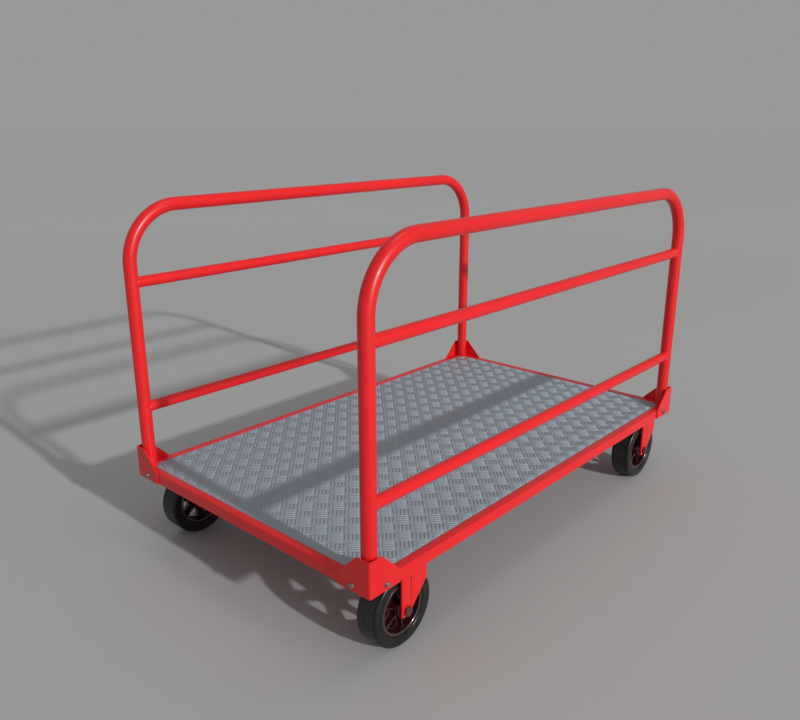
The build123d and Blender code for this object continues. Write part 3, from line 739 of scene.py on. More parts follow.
def pale_floor(colours, name):
    """A plain pale studio floor with hardly any texture; painted darker near the truck and paler far away,
    painted shade that evens out the lamps' stronger light near the truck.
    """
    finish = Finish(name)
    cloud = finish.noise(1.5, 3.0)
    stage = bpy.context.scene.truck_stage
    reach = (finish.part("X") ** 2.0 + finish.part("Y") ** 2.0) ** 0.5
    # Painted shade: the floor's colour is darker near the truck to even out the brighter light there.
    far = finish.ramp(reach * 0.1, (0.10, 0.0), (0.60, 1.0))
    shade = finish.blend(far, stage.floor, stage.floor_far)
    tone = finish.blend(cloud * 0.25, shade, stage.floor)
    finish.set(Base_Color=tone, Roughness=(0.62 + cloud * 0.10).limited(), Specular_IOR_Level=0.25)
    return finish.material


FINISHES = {
    "red paint": red_paint,
    "tread plate": tread_plate,
    "zinc plate": zinc_plate,
    "dull steel": dull_steel,
    "bearing steel": bearing_steel,
    "axle steel": axle_steel,
    "tyre rubber": tyre_rubber,
    "moulded centre": moulded_centre,
    "polished lip": polished_lip,
    "seam grime": painted_seam_shade,
    "bush nylon": bush_nylon,
    "pale floor": pale_floor,
}


def material(name):
    """The named finish, made the first time that it is asked for."""
    return bpy.data.materials.get(name) or FINISHES[name](bpy.context.scene.truck_colours, name)


def repaint(node, finish):
    """Gives a CAD node its finish."""
    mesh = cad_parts[node].data
    mesh.materials.clear()
    mesh.materials.append(material(finish))


# ---------------------------------------------------------------- operators
class BuildBed(bpy.types.Operator):
    """Build the bed's four mitred rails and its cross members"""

    bl_idname = "truck.build_bed"
    bl_label = "Bed Rails"

    def rail(self, node, name, edge):
        """One mitred length of box section."""
        low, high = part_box(node)
        lengthwise, outward = (0, 1) if high.x - low.x > high.y - low.y else (1, 0)
        width = high[outward] - low[outward]
        outer = max(abs(low[outward]), abs(high[outward]))
        sign = math.copysign(1, low[outward] + high[outward])
        rings = []
        for end in (-1, 1):
            ring = []
            for inward, level in rounded([(0, low.z), (width, low.z), (width, high.z), (0, high.z)], edge, 6):
                point = Vector((0, 0, level))
                point[lengthwise] = end * (high[lengthwise] - inward)
                point[outward] = sign * (outer - inward)
                ring.append(point)
            rings.append(ring)
        bm = bmesh.new()
        skin(bm, rings)
        frame_piece(bm, name, node)

    def seam(self, outline, top):
        """An outline in fine steps, without the part of it that is above top."""
        fine = []
        for first, second in zip(outline, outline[1:] + outline[:1]):
            steps = max(1, int((second - first).length / SEAM_STEP))
            fine += [first + (second - first) * step / steps for step in range(steps)]
        start = next(step for step, point in enumerate(fine) if point.y >= top and fine[step - 1].y < top)
        return [point for point in fine[start:] + fine[:start] if point.y < top]

    def member(self, node, name, edge):
        """One cross member, closed against the side rails and welded to them below the plate."""
        low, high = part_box(node)
        corners = [(low.x, low.z), (high.x, low.z), (high.x, high.z), (low.x, high.z)]
        section = rounded(corners, edge, 6)
        seam = self.seam(rounded(corners, edge * 1.5, 6), high.z - edge)
        welds = bpy.context.scene.truck_hoops
        bm = bmesh.new()
        skin(bm, [[Vector((x, end, z)) for x, z in section] for end in (low.y, high.y)])
        for end in (low.y, high.y):
            inward = Vector((0, -math.copysign(1, end), 0))
            points = [Vector((x, end + inward.y * BEAD_SINK, z)) for x, z in seam]
            bead(bm, points, [inward] * len(points), welds.bead * FINE_BEAD, welds.ripple, looped=False)
        frame_piece(bm, name, node)

    def execute(self, context):
        sizes = context.scene.truck_bed
        for side in SIDES:
            self.rail(f"side_rail_{side}", f"bed_rail_{side}", sizes.rail_edge)
        for end in ENDS:
            self.rail(f"end_rail_{end}", f"bed_rail_{end}", sizes.rail_edge)
            repaint(f"castor_bearer_{end}", "red paint")
        for number in range(1, MEMBERS + 1):
            self.member(f"cross_member_{number}", f"bed_member_{number}", sizes.member_edge)
        return {"FINISHED"}


class BuildTread(bpy.types.Operator):
    """Build the tread plate with every raised bar as geometry"""

    bl_idname = "truck.build_tread"
    bl_label = "Tread Plate"

    def sides(self, start, size, levels):
        """The faces between the levels of a stack of rings, as point numbers."""
        faces = []
        for base in range(start, start + size * (levels - 1), size):
            for step in range(size):
                after = (step + 1) % size
                faces.append((base + step, base + after, base + size + after, base + size + step))
        return faces

    def plate(self, edge):
        """The plate's points and faces, with its edges rounded."""
        levels = [
            (deck_low.z, edge),
            (deck_low.z + edge, 0.0),
            (deck_high.z - edge, 0.0),
            (deck_high.z - edge * 0.3, edge * 0.3),
            (deck_high.z, edge),
        ]
        points = []
        for level, inset in levels:
            for x, y in ((-1, -1), (1, -1), (1, 1), (-1, 1)):
                points.append((x * (deck_high.x - inset), y * (deck_high.y - inset), level))
        top = tuple(range(len(points) - 4, len(points)))
        return points, self.sides(0, 4, len(levels)) + [(3, 2, 1, 0), top]

    def places(self, sizes):
        """The middle and the lean of every bar: groups of one lean, and between them groups of the other."""
        pitch = sizes.group_pitch
        columns, rows = int(deck_high.x / pitch) + 2, int(deck_high.y / pitch) + 2
        for column in range(-columns, columns + 1):
            for row in range(-rows, rows + 1):
                for lean, shift in ((1, 0.0), (-1, 0.5)):
                    for bar in range(BARS_PER_GROUP):
                        off = (bar - (BARS_PER_GROUP - 1) / 2) * sizes.bar_pitch * DIAGONAL
                        yield (column + shift) * pitch + off, (row + shift) * pitch - lean * off, lean

    def clipped(self, x, y, slant, half, margin):
        """The part of a bar's middle line that stays on the plate, as its centre and half length."""
        low, high = -half, half
        spans = ((x, slant[0], deck_low.x, deck_high.x), (y, slant[1], deck_low.y, deck_high.y))
        for place, pace, least, most in spans:
            bounds = sorted(((least + margin - place) / pace, (most - margin - place) / pace))
            low, high = max(low, bounds[0]), min(high, bounds[1])
        return (low + high) / 2, (high - low) / 2

    def outline(self):
        """Points round a bar, as shares of its half length and half width."""
        shares = []
        for step in range(BAR_POINTS):
            turn = math.tau * (step + 0.5) / BAR_POINTS
            along, across = math.cos(turn), math.sin(turn)
            blunt, round_side = abs(along) ** 0.55, abs(across) ** 0.9
            shares.append((math.copysign(blunt, along), math.copysign(round_side, across)))
        return shares

    def bar(self, x, y, lean, outline, sizes):
        """One bar's points, level by level, or none where it would be a stub or a post stands."""
        half_width = sizes.bar_width / 2
        slant, spread = (DIAGONAL, lean * DIAGONAL), (DIAGONAL, -lean * DIAGONAL)
        shift, reach = self.clipped(x, y, slant, sizes.bar_length / 2, half_width * 0.8)
        if reach < half_width * 1.2:
            return []
        x, y = x + slant[0] * shift, y + slant[1] * shift
        for part in (-1, -0.5, 0, 0.5, 1):
            off_x = abs(x + slant[0] * reach * part) - post_x
            off_y = abs(y + slant[1] * reach * part) - hoop_y
            if math.hypot(off_x, off_y) < hoop_radius + half_width:
                return []
        points = []
        for inset, lift in BAR_LEVELS:
            level = deck_high.z + sizes.bar_height * lift
            for along, across in outline:
                run, wide = (reach - inset * half_width) * along, half_width * (1 - inset) * across
                place_x = x + slant[0] * run + spread[0] * wide
                points.append((place_x, y + slant[1] * run + spread[1] * wide, level))
        return points

    def execute(self, context):
        sizes = context.scene.truck_bed
        outline = self.outline()
        points, faces = self.plate(sizes.plate_edge)
        for x, y, lean in self.places(sizes):
            added = self.bar(x, y, lean, outline, sizes)
            if not added:
                continue
            start = len(points)
            points += added
            top = tuple(range(len(points) - BAR_POINTS, len(points)))
            foot = tuple(range(start, start + BAR_POINTS))
            around = self.sides(start, BAR_POINTS, len(BAR_LEVELS)) + [top, foot[::-1]]
            faces += around if lean < 0 else [face[::-1] for face in around]
        mesh = bpy.data.meshes.new("tread_plate_bars")
        mesh.from_pydata(points, [], faces)
        mesh.validate()
        nodes = ["deck_plate"]
        piece(mesh, "tread_plate_bars", "tread plate", "frame", nodes, sharp=math.radians(60))
        return {"FINISHED"}


class BuildHoops(bpy.types.Operator):
    """Build the two bent side hoops, their rails and their welds"""

    bl_idname = "truck.build_hoops"
    bl_label = "Side Hoops"

    def saddle(self, post, direction, post_radius, rail_radius):
        """The seam where a level rail meets a post, and its outward directions."""
        points, normals = [], []
        for step in range(96):
            turn = math.tau * step / 96
            y, z = rail_radius * math.cos(turn), rail_radius * math.sin(turn)
            x = math.sqrt(post_radius**2 - y**2)
            points.append(post + Vector((direction * x, y, z)))
            from_post = Vector((direction * x, y, 0)).normalized()
            from_rail = Vector((0, y, z)).normalized()
            normals.append((from_post + from_rail).normalized())
        return points, normals

    def hoop(self, side, sizes):
        """One tube with its two bends, and a bead round the foot of each post."""
        low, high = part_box(f"hoop_{side}")
        radius = (high.y - low.y) / 2
        place, reach, crest = (high.y + low.y) / 2, high.x - radius, high.z - radius
        path = [Vector((-reach, place, low.z - POST_LAP))]
        for end, start in ((-1, math.pi), (1, math.pi / 2)):
            centre = Vector((end * (reach - sizes.bend), place, crest - sizes.bend))
            for step in range(33):
                turn = start - step / 32 * math.pi / 2
                path.append(centre + sizes.bend * Vector((math.cos(turn), 0, math.sin(turn))))
        path.append(Vector((reach, place, low.z - POST_LAP)))
        bm = bmesh.new()
        swept(bm, path, radius, 56, ACROSS)
        for end in ENDS.values():
            foot = Vector((end * reach, place, low.z + POST_LAP))
            ring = circle(foot, UP, radius + BEAD_SINK, 120)
            outward = [((point - foot).normalized() + UP).normalized() for point in ring]
            bead(bm, ring, outward, sizes.bead, sizes.ripple)
        frame_piece(bm, f"side_hoop_{side}", f"hoop_{side}")

    def rail(self, height, side, sizes):
        """One straight rail between the posts, and a bead round each end."""
        posts_low, posts_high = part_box(f"hoop_{side}")
        post_radius = (posts_high.y - posts_low.y) / 2
        place, reach = (posts_high.y + posts_low.y) / 2, posts_high.x - post_radius
        low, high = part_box(f"{height}_rail_{side}")
        radius, level = (high.y - low.y) / 2, (low.z + high.z) / 2
        inside = reach - post_radius * 0.4
        profile = [(radius, -inside), (radius, 0.0), (radius, inside)]
        bm = bmesh.new()
        turned(bm, profile, (0, place, level), ALONG, 48, looped=False)
        for end in ENDS.values():
            seam, outward = self.saddle(Vector((end * reach, place, level)), -end, post_radius, radius)
            bead(bm, seam, outward, sizes.bead * FINE_BEAD, sizes.ripple)
        frame_piece(bm, f"{height}_side_rail_{side}", f"{height}_rail_{side}")

    def execute(self, context):
        sizes = context.scene.truck_hoops
        for side in SIDES:
            self.hoop(side, sizes)
            for height in ("lower", "upper"):
                self.rail(height, side, sizes)
        return {"FINISHED"}


class BuildBrackets(bpy.types.Operator):
    """Build the folded corner brackets and their bolts, washers and nuts"""

    bl_idname = "truck.build_brackets"
    bl_label = "Corner Brackets"

    def plate(self, bm, low, high, corner, signs, sizes):
        """One plate folded round a corner of the bed."""
        fold, half_arc = sizes.fold, sizes.fold * math.pi / 4
        reach, flat = (high.x - low.x) - fold + half_arc, sizes.flat - fold + half_arc
        toe, crest = low.z + sizes.toe, sizes.corner * 1.6
        corners = [(-reach, low.z), (reach, low.z), (reach, toe)]
        corners += [(flat, high.z), (-flat, high.z), (-reach, toe)]
        outline = rounded(corners, [FOOT_CORNER, FOOT_CORNER, sizes.corner, crest, crest, sizes.corner])

        def bend(along, level, depth):
            """Where a place on the blank ends up; depth 0 is its outer face."""
            if abs(along) >= half_arc:
                run = fold + abs(along) - half_arc
                place = (run, sizes.thickness * depth)
                first, second = place if along < 0 else place[::-1]
            else:
                turn = (along / half_arc + 1) * math.pi / 4
                arm = fold - sizes.thickness * depth
                first, second = fold - arm * math.sin(turn), fold - arm * math.cos(turn)
            return Vector((corner.x - signs.x * first, corner.y - signs.y * second, level))

        folded_sheet(bm, outline, [half_arc * (step / 4 - 1) for step in range(9)], bend)

    def welds(self, bm, corner, signs, sizes):
        """An upright bead between each wing and the post behind it."""
        ripple = bpy.context.scene.truck_hoops.ripple
        gap = abs(corner.x) - sizes.thickness - post_x - hoop_radius
        heights = [rail_high.z + WELD_START + step * WELD_STEP for step in range(WELD_STEPS)]
        for direction in (Vector((signs.x, 0)), Vector((0, signs.y))):
            seam = Vector((signs.x * post_x, signs.y * hoop_y)) + direction * (hoop_radius + gap / 2)
            points = [Vector((seam.x, seam.y, height)) for height in heights]
            square = Vector((direction.y, direction.x, 0))
            bead(bm, points, [square] * len(points), gap * 0.62, ripple, looped=False)

    def fasteners(self, meshes, seat, out, sizes):
        """One bolt through a wing and the rail behind it, with its washer and its nut."""
        bolts, washers, nuts = meshes
        radius, ring, thick = sizes.bolt_radius, sizes.washer, sizes.washer_thickness
        bore, grip = radius * WASHER_BORE, sizes.thickness + (rail_high.y - rail_low.y)
        low_edge, high_edge = 0.0002, 0.0003
        washer = [(bore, 0.0), (ring - low_edge, 0.0), (ring, low_edge)]
        washer += [(ring, thick - high_edge), (ring - high_edge, thick), (bore, thick)]
        turned(washers, washer, seat, out, 40)
        hexagon(bolts, seat + out * thick, out, sizes.bolt_flats, sizes.bolt_head, hollow=0.0003)
        inner = seat - out * grip
        turned(bolts, [(radius, -SHANK_LAP), (radius, grip + thick)], inner, out, 24, looped=False)
        hexagon(nuts, inner, -out, sizes.bolt_flats, sizes.nut_height, bore=radius * NUT_BORES["bracket"])
        threaded_end(bolts, inner, -out, radius, sizes.nut_height + THREAD_STANDING, PITCHES["bracket"], 24)

    def execute(self, context):
        sizes = context.scene.truck_brackets
        middle = (rail_low.z + rail_high.z) / 2
        meshes = [bmesh.new() for _ in range(3)]
        for end, side in CORNERS:
            low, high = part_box(f"corner_bracket_{end}_{side}")
            signs = Vector((ENDS[end], SIDES[side]))
            reach = Vector((max(abs(low.x), abs(high.x)), max(abs(low.y), abs(high.y))))
            corner = reach * signs
            bm = bmesh.new()
            self.plate(bm, low, high, corner, signs, sizes)
            self.welds(bm, corner, signs, sizes)
            frame_piece(bm, f"corner_plate_{end}_{side}", f"corner_bracket_{end}_{side}", sizes.edge)
            end_seat = Vector((corner.x, corner.y - signs.y * sizes.bolt_offset, middle))
            side_seat = Vector((corner.x - signs.x * sizes.bolt_offset, corner.y, middle))
            self.fasteners(meshes, end_seat, ALONG * signs.x, sizes)
            self.fasteners(meshes, side_seat, ACROSS * signs.y, sizes)
        for kind, bm in zip(("bolts", "washers", "nuts"), meshes):
            piece(bm, f"corner_{kind}", "zinc plate", "frame", [f"bracket_{kind}"])
        return {"FINISHED"}


class BuildCastors(bpy.types.Operator):
    """Build the forks, their axles and the bolts of the castor heads"""

    bl_idname = "truck.build_castors"
    bl_label = "Castors"

    def sheet(self, bm, low, high, crown, half, axle, sizes):
        """One blank bent down into a crown and two gusseted legs."""
        flat, arc = half - sizes.fold, sizes.fold * math.pi / 2
        back, front = axle.x - sizes.leg, axle.x + sizes.leg
        foot, toe, gusset = (
            flat + arc + (crown - level) - sizes.fold
            for level in (low.z, low.z + sizes.toe, axle.z + sizes.gusset)
        )
        leg = [(foot, back), (foot, front), (toe, front), (gusset, high.x)]
        other = [(-along, across) for along, across in reversed(leg)]

        def bend(along, across, depth):
            """Where a place on the blank ends up; depth 0 is its outer face."""
            sign, away = math.copysign(1, along), abs(along)
            inward = sizes.thickness * depth
            if away <= flat:
                y, z = away, -inward
            elif away <= flat + arc:
                turn = (away - flat) / sizes.fold
                arm = sizes.fold - inward
                y, z = flat + arm * math.sin(turn), arm * math.cos(turn) - sizes.fold
            else:
                y, z = half - inward, flat + arc - away - sizes.fold
            return Vector((across, axle.y + sign * y, crown + z))

        cuts = [sign * (flat + arc * step / 6) for sign in (-1, 1) for step in range(7)]
        folded_sheet(bm, rounded(leg + other, sizes.leg_corner), cuts, bend)

    def strips(self, bm, foot, half, axle, sizes):
        """The strip that is pressed proud of each leg, from its foot upwards."""
        near, far, top = axle.x - sizes.pad_half, axle.x + sizes.pad_half, axle.z + sizes.pad_rise
        corners = [(near, foot), (far, foot), (far, top), (near, top)]
        pad = sizes.pad
        for sign in (-1, 1):
            rings = []
            for inset, proud in ((0.0, -0.0004), (0.0, pad * 0.35), (0.00035, pad * 0.8), (0.0009, pad)):
                shrunk = []
                for x, z in corners:
                    inward = math.copysign(inset, axle.x - x), math.copysign(inset, axle.z - z)
                    shrunk.append((x + inward[0], z + inward[1]))
                outline = rounded(shrunk, sizes.leg_corner - inset, 6)
                rings.append([Vector((x, axle.y + sign * (half + proud), z)) for x, z in outline])
            skin(bm, rings)

    def shade_lines(self, bm, foot, half, axle, sizes):
        """A dark tube beside each pressed strip: painted shade standing in for the shadow of a crease."""
        x = axle.x + sizes.pad_half + sizes.shade_line * 0.4
        for sign in (-1, 1):
            y = axle.y + sign * half
            run = [Vector((x, y, foot + sizes.toe)), Vector((x, y, axle.z + sizes.pad_rise))]
            swept(bm, run, sizes.shade_line / 2, 12, ALONG)

    def race_ring(self, bm, pin, crown, sizes):
        """The lower race ring, with the balls' track turned in its top."""
        outer, inner, tall = sizes.race_outer, sizes.race_inner, sizes.race_height
        track = []
        for turn in np.linspace(math.pi * 1.87, math.pi * 1.13, 9):
            across, up = GROOVE_RADIUS * math.cos(turn), GROOVE_RADIUS * math.sin(turn)
            track.append((TRACK_RADIUS + across, BALL_RISE + up))
        outside = [(inner, -0.0003), (outer, -0.0003), (outer, tall - RACE_EDGE), (outer - RACE_EDGE, tall)]
        inside = [(inner + RACE_EDGE, tall), (inner, tall - RACE_EDGE)]
        turned(bm, outside + track + inside, (pin.x, pin.y, crown), UP, 72)

    def fork(self, corner, axle, pin, sizes):
        """A pressed fork, the dark lines of painted shade beside its pressed strips, and its race ring; gives
        the distance from axle to outer face.
        """
        body, slot = f"castor_{corner}", "red_fork_paint"
        low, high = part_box(f"fork_{corner}")
        crown = high.z - sizes.race_height
        half = (high.y - low.y) / 2 - sizes.pad
        pressed, shade_line_mesh, ring = bmesh.new(), bmesh.new(), bmesh.new()
        self.sheet(pressed, low, high, crown, half, axle, sizes)
        self.strips(pressed, low.z, half, axle, sizes)
        piece(pressed, f"pressed_fork_{corner}", "red paint", body, [f"fork_{corner}"], bevel=0.0006)
        # Dark tubes beside the pressed strips: painted shade where the crease would be shadowed.
        self.shade_lines(shade_line_mesh, low.z, half, axle, sizes)
        piece(shade_line_mesh, f"fork_shade_line_{corner}", "seam grime", body)
        self.race_ring(ring, pin, crown, sizes)
        piece(ring, f"race_ring_{corner}", "dull steel", body)
        return half + sizes.pad

    def axle(self, corner, axle, outward, reach, sizes):
        """The axle bolt with its head inboard, and its nut."""
        low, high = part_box(f"axle_bolt_{corner}")
        out = ACROSS * outward
        inner_face, outer_face = axle - out * reach, axle + out * reach
        tip = (high.y if outward > 0 else -low.y) - outward * axle.y - reach
        bolt, nut = bmesh.new(), bmesh.new()
        hexagon(bolt, inner_face, -out, sizes.nut_flats, sizes.head_height, hollow=0.0005)
        turned(bolt, [(sizes.axle, -0.0005), (sizes.axle, 2 * reach)], inner_face, out, 40, looped=False)
        threaded_end(bolt, outer_face, out, sizes.axle, tip, PITCHES["axle"], 40)
        body = f"castor_{corner}"
        piece(bolt, f"axle_shaft_{corner}", "axle steel", body, [f"axle_bolt_{corner}"])
        bore = sizes.axle * NUT_BORES["axle"]
        hexagon(nut, outer_face, out, sizes.nut_flats, sizes.nut_height, bore=bore, per_side=8)
        piece(nut, f"axle_lock_{corner}", "axle steel", body, [f"axle_nut_{corner}"])

    def head_bolts(self, bolts, nuts, pin, over, under, sizes):
        """The four bolts that hold a castor plate to its bearer, and their nuts."""
        radius, flats = sizes.fixing_radius, sizes.fixing_flats
        reach, bore = sizes.fixing_nut + THREAD_STANDING, radius * NUT_BORES["plate"]
        for x in (pin.x - 0.5 * sizes.fixing_x, pin.x + 0.5 * sizes.fixing_x):
            for y in (pin.y - 0.5 * sizes.fixing_y, pin.y + 0.5 * sizes.fixing_y):
                top, foot = Vector((x, y, over)), Vector((x, y, under))
                hexagon(bolts, top, UP, flats, sizes.fixing_head, hollow=0.0004)
                turned(bolts, [(radius, 0.0), (radius, over - under)], foot, UP, 28, looped=False)
                threaded_end(bolts, foot, -UP, radius, reach, PITCHES["plate"], 28)
                hexagon(nuts, foot, -UP, flats, sizes.fixing_nut, bore=bore)

    def execute(self, context):
        sizes = context.scene.truck_castors
        bolts, nuts = bmesh.new(), bmesh.new()
        for end, side in CORNERS:
            corner = f"{end}_{side}"
            axle, pin = centre_of(f"tyre_{corner}"), centre_of(f"race_balls_{corner}")
            reach = self.fork(corner, axle, pin, sizes)
            self.axle(corner, axle, SIDES[side], reach, sizes)
            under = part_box(f"castor_plate_{corner}")[1].z - sizes.thickness
            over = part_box(f"castor_bearer_{end}")[0].z + sizes.thickness
            self.head_bolts(bolts, nuts, pin, over, under, sizes)
            repaint(f"castor_plate_{corner}", "dull steel")
            repaint(f"race_balls_{corner}", "bearing steel")
        piece(bolts, "head_bolts", "zinc plate", "frame", ["castor_bolts"])
        piece(nuts, "head_nuts", "zinc plate", "frame", ["castor_nuts"])
        repaint("kingpins", "dull steel")
        return {"FINISHED"}


class BuildWheels(bpy.types.Operator):
    """Build the tyres and the ribbed wheel centres"""

    bl_idname = "truck.build_wheels"
    bl_label = "Wheels"

    def tyre_side(self, outer, half, sizes):
        """One side of a tyre's section: its shoulder, a moulded line and the edge at the rim."""
        across = half - sizes.tread_half
        side = []
        for step in range(1, 9):
            turn = step / 8 * math.pi / 2
            drop = sizes.shoulder * (1 - math.cos(turn) ** 0.9)
            side.append((outer - drop, sizes.tread_half + across * math.sin(turn)))
        side += [(outer - sizes.shoulder - drop, half - inset) for drop, inset in WALL_LINE]
        side += [(sizes.tyre_inner + rise, half - inset) for rise, inset in WALL_FOOT]
        return side

    def tyre(self, corner, axle, sizes):
        """A solid tyre with a fine diamond tread."""
        low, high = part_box(f"tyre_{corner}")
        outer, half, width = (high.z - low.z) / 2, (high.y - low.y) / 2, sizes.tread_half * 2
        segments = sizes.blocks * PER_BLOCK
        block = width / round(width / (math.tau * outer / sizes.blocks))
        rows = round(width / block) * PER_BLOCK

        def dip(step, along):
            """How deep the tread's grooves are at a place."""
            fade = 1 - max(0.0, abs(along) - sizes.tread_half) / TREAD_FADE
            if fade <= 0:
                return 0.0
            first, second = (step / PER_BLOCK + along / block) % 1.0, (step / PER_BLOCK - along / block) % 1.0
            ridge = min(0.5 - abs(first - 0.5), 0.5 - abs(second - 0.5))
            return sizes.groove * fade * (1 - min(1.0, ridge / RIDGE))

        front = self.tyre_side(outer, half, sizes)
        profile = [(outer, -sizes.tread_half + width * row / rows) for row in range(rows + 1)]
        profile += front + [(radius, -along) for radius, along in reversed(front)]
        rings = []
        for radius, along in profile:
            ring = []
            for step in range(segments):
                turn = math.tau * step / segments
                reach = radius - (dip(step, along) if radius > outer - TREAD_DEPTH else 0.0)
                ring.append(Vector((reach * math.cos(turn), along, reach * math.sin(turn))))
            rings.append(ring)
        bm = bmesh.new()
        skin(bm, rings, looped=True)
        name, body, nodes = f"tyre_tread_{corner}", f"wheel_{corner}", [f"tyre_{corner}"]
        piece(bm, name, "tyre rubber", body, nodes, sharp=math.radians(28), place=axle)

    def lip(self, sizes):
        """The round edge of the rim, as (radius, distance along the axle)."""
        nose = (sizes.tyre_inner - sizes.rim_inner) / 2
        edge = []
        for turn in (math.pi * step / 12 for step in range(13)):
            rise = nose * LIP_ROUND * math.sin(turn) - nose * LIP_SINK
            edge.append((sizes.rim_inner + nose + nose * math.cos(turn), sizes.rim_half + rise))
        return edge

    def rim(self, bm, axle, sizes):
        """The rim, from its two round edges in to the web."""
        inner, web = sizes.rim_inner, sizes.web_half
        inside = [(inner - 0.0002, sizes.rim_half * 0.55), (inner - 0.0010, web + 0.002)]
        front = self.lip(sizes) + inside + [(inner - 0.0022, web)]
        turned(bm, front + [(radius, -along) for radius, along in reversed(front)], axle, ACROSS, 128)

    def nave(self, bm, axle, sizes):
        """The nave, with chamfered ends and a little wider next to the web."""
        radius, half, edge = sizes.nave, sizes.nave_half, NAVE_EDGE
        front = [
            (radius + 0.0012, sizes.web_half + 0.001),
            (radius, half - edge * 2),
            (radius - edge, half - edge * 0.5),
            (radius - 0.0035, half),
            (sizes.bore, half),
        ]
        back = [(radius, -along) for radius, along in reversed(front)]
        turned(bm, back + front, axle, ACROSS, 64)

    def web(self, bm, axle, sizes):
        """The disc between the nave and the rim, with a window between each pair of ribs."""
        loops = []
        for radius, number in ((sizes.rim_inner + 0.0005, 96), (sizes.nave - 0.0008, 48)):
            turns = np.linspace(0, math.tau, number, endpoint=False)
            loops.append([(radius * math.cos(turn), radius * math.sin(turn)) for turn in turns])
        inner, outer = sizes.window_inner, sizes.window_outer
        narrow, wide = sizes.window_half_inner, sizes.window_half_outer
        window = rounded([(inner, -narrow), (outer, -wide), (outer, wide), (inner, narrow)], 0.003, 4)
        for spoke in range(sizes.spokes):
            turn = -sizes.phase + math.pi / sizes.spokes + math.tau * spoke / sizes.spokes
            cosine, sine = math.cos(turn), math.sin(turn)
            loops.append([(x * cosine - z * sine, x * sine + z * cosine) for x, z in window])
        flat = bmesh.new()
        edges = []
        for ring in loops:
            verts = [flat.verts.new((x, 0, z)) for x, z in ring]
            edges += [flat.edges.new(pair) for pair in zip(verts, verts[1:] + verts[:1])]
        bmesh.ops.triangle_fill(flat, use_beauty=True, use_dissolve=False, edges=edges)
        faces = (ACROSS * sizes.web_half, ACROSS * -sizes.web_half)
        thickened(bm, flat, lambda point, depth: axle + point + faces[depth])

    def rib(self, bm, axle, turn, sizes):
        """One rib on both faces of the web, from the nave to the rim, thinner at its edge."""
        radial = Vector((math.cos(turn), 0, math.sin(turn)))
        across = Vector((-math.sin(turn), 0, math.cos(turn)))
        web, full = sizes.web_half, sizes.rib_half
        stations = [(sizes.nave - 0.001, 1.12), *RIB_DIPS, (sizes.rim_inner + 0.001, 1.0)]
        foot = [(radius, web - 0.001) for radius, _ in stations]
        root = [(radius, web + 0.001) for radius, _ in stations]
        edge = [(radius, full * rise) for radius, rise in stations]
        for sign in (-1, 1):
            rings = []
            for levels, taper in ((foot, 1.2), (root, 1.0), (edge, 0.72)):
                off = across * sizes.rib_thickness / 2 * taper
                line = [axle + radial * radius + ACROSS * sign * level for radius, level in levels]
                rings.append([point + off for point in line] + [point - off for point in reversed(line)])
            skin(bm, rings)

    def centre(self, corner, axle, sizes):
        """A wheel centre: rim, nave, pierced web and ribs, and the polished skin of the rim's edges."""
        shine, bm = bmesh.new(), bmesh.new()
        lip = self.lip(sizes)
        for sign in (-1, 1):
            crest = [(radius, sign * (along + 0.0001)) for radius, along in lip]
            under = [(radius, sign * (along - 0.0012)) for radius, along in reversed(lip)]
            turned(shine, crest + under, axle, ACROSS, 128)
        piece(shine, f"wheel_lip_{corner}", "polished lip", f"wheel_{corner}")
        self.rim(bm, axle, sizes)
        self.nave(bm, axle, sizes)
        self.web(bm, axle, sizes)
        for spoke in range(sizes.spokes):
            self.rib(bm, axle, -sizes.phase + math.tau * spoke / sizes.spokes, sizes)
        name, body, nodes = f"wheel_moulding_{corner}", f"wheel_{corner}", [f"wheel_centre_{corner}"]
        piece(bm, name, "moulded centre", body, nodes, bevel=0.0007)

    def execute(self, context):
        sizes = context.scene.truck_wheels
        for end, side in CORNERS:
            corner = f"{end}_{side}"
            axle = centre_of(f"tyre_{corner}")
            self.tyre(corner, axle, sizes)
            self.centre(corner, axle, sizes)
            repaint(f"axle_bush_{corner}", "bush nylon")
        return {"FINISHED"}


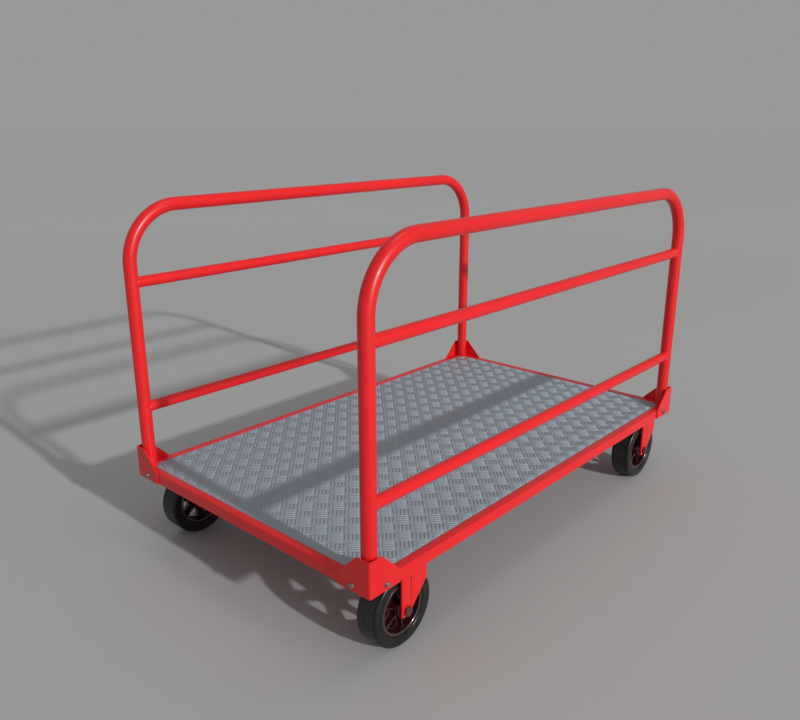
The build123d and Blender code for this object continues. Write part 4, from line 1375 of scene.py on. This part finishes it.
class BuildStage(bpy.types.Operator):
    """Build the floor, the lights and the camera"""

    bl_idname = "truck.build_stage"
    bl_label = "Stage"

    def light(self, name, kind, place, travel, tint):
        """One light that shines along a direction."""
        lamp = bpy.data.lights.new(name, kind)
        lamp.color = tint
        made = bpy.data.objects.new(name, lamp)
        made.location = place
        made.rotation_mode = "QUATERNION"
        made.rotation_quaternion = Vector(travel).to_track_quat("-Z", "Y")
        bpy.context.scene.collection.objects.link(made)
        return lamp

    def execute(self, context):
        scene = context.scene
        settings = scene.truck_stage
        bm = bmesh.new()
        bm.faces.new([bm.verts.new(point) for point in circle((0, 0, 0), UP, settings.floor_radius, 96)])
        mesh = bpy.data.meshes.new("studio_floor")
        bm.to_mesh(mesh)
        bm.free()
        mesh.materials.append(material("pale floor"))
        floor = bpy.data.objects.new("studio_floor", mesh)
        scene.collection.objects.link(floor)

        key = self.light("key_light", "SUN", (-1.5, -6.0, 3.0), (0.15, 2.6, -1.0), (1.0, 0.99, 0.98))
        key.energy = settings.key_strength
        key.angle = settings.key_spread
        top = self.light("top_light", "AREA", (0.3, -0.8, 4.2), (-0.05, 0.2, -1.0), (0.97, 0.98, 1.0))
        top.size = settings.top_size
        top.energy = settings.top_energy

        box = self.light("soft_box", "AREA", (-0.4, -6.4, 1.9), (0.05, 1.0, -0.22), (1.0, 0.99, 0.98))
        box.size = settings.box_size
        box.energy = settings.box_energy

        world = bpy.data.worlds.new("soft surround")
        world.use_nodes = True
        world.node_tree.nodes["Background"].inputs[0].default_value = (*settings.surround, 1.0)
        scene.world = world
        scene.view_settings.view_transform = "Standard"

        camera = bpy.data.cameras.new("main_camera")
        camera.lens = settings.lens
        camera.sensor_width = 36.0
        camera.clip_end = 100.0
        view = bpy.data.objects.new("main_camera", camera)
        view.location = CAMERA_PLACE
        view.rotation_mode = "QUATERNION"
        view.rotation_quaternion = Vector(CAMERA_AIM).to_track_quat("-Z", "Y")
        scene.collection.objects.link(view)
        scene.camera = view
        return {"FINISHED"}


class TruckPanel(bpy.types.Panel):
    """Lists the steps that build the truck"""

    bl_idname = "VIEW3D_PT_truck"
    bl_label = "Platform Truck"
    bl_space_type = "VIEW_3D"
    bl_region_type = "UI"
    bl_category = "Truck"

    def draw(self, context):
        for operator in OPERATORS:
            self.layout.operator(operator.bl_idname)


GROUPS = {
    "truck_bed": TruckBedSizes,
    "truck_hoops": TruckHoopSizes,
    "truck_brackets": TruckBracketSizes,
    "truck_castors": TruckCastorSizes,
    "truck_wheels": TruckWheelSizes,
    "truck_colours": TruckColours,
    "truck_stage": TruckStageSettings,
}
OPERATORS = (BuildBed, BuildTread, BuildHoops, BuildBrackets, BuildCastors, BuildWheels, BuildStage)


def register():
    """Registers the classes and hangs the settings on the scene."""
    for name, group in GROUPS.items():
        bpy.utils.register_class(group)
        setattr(bpy.types.Scene, name, bpy.props.PointerProperty(type=group))
    for operator in OPERATORS:
        bpy.utils.register_class(operator)
    bpy.utils.register_class(TruckPanel)


def unregister():
    """Takes the classes and the settings away again."""
    bpy.utils.unregister_class(TruckPanel)
    for operator in reversed(OPERATORS):
        bpy.utils.unregister_class(operator)
    for name, group in GROUPS.items():
        delattr(bpy.types.Scene, name)
        bpy.utils.unregister_class(group)


def main():
    """Builds the truck and its stage."""
    register()
    bpy.ops.truck.build_bed()
    bpy.ops.truck.build_tread()
    bpy.ops.truck.build_hoops()
    bpy.ops.truck.build_brackets()
    bpy.ops.truck.build_castors()
    bpy.ops.truck.build_wheels()
    bpy.ops.truck.build_stage()


if __name__ == "__main__":
    main()
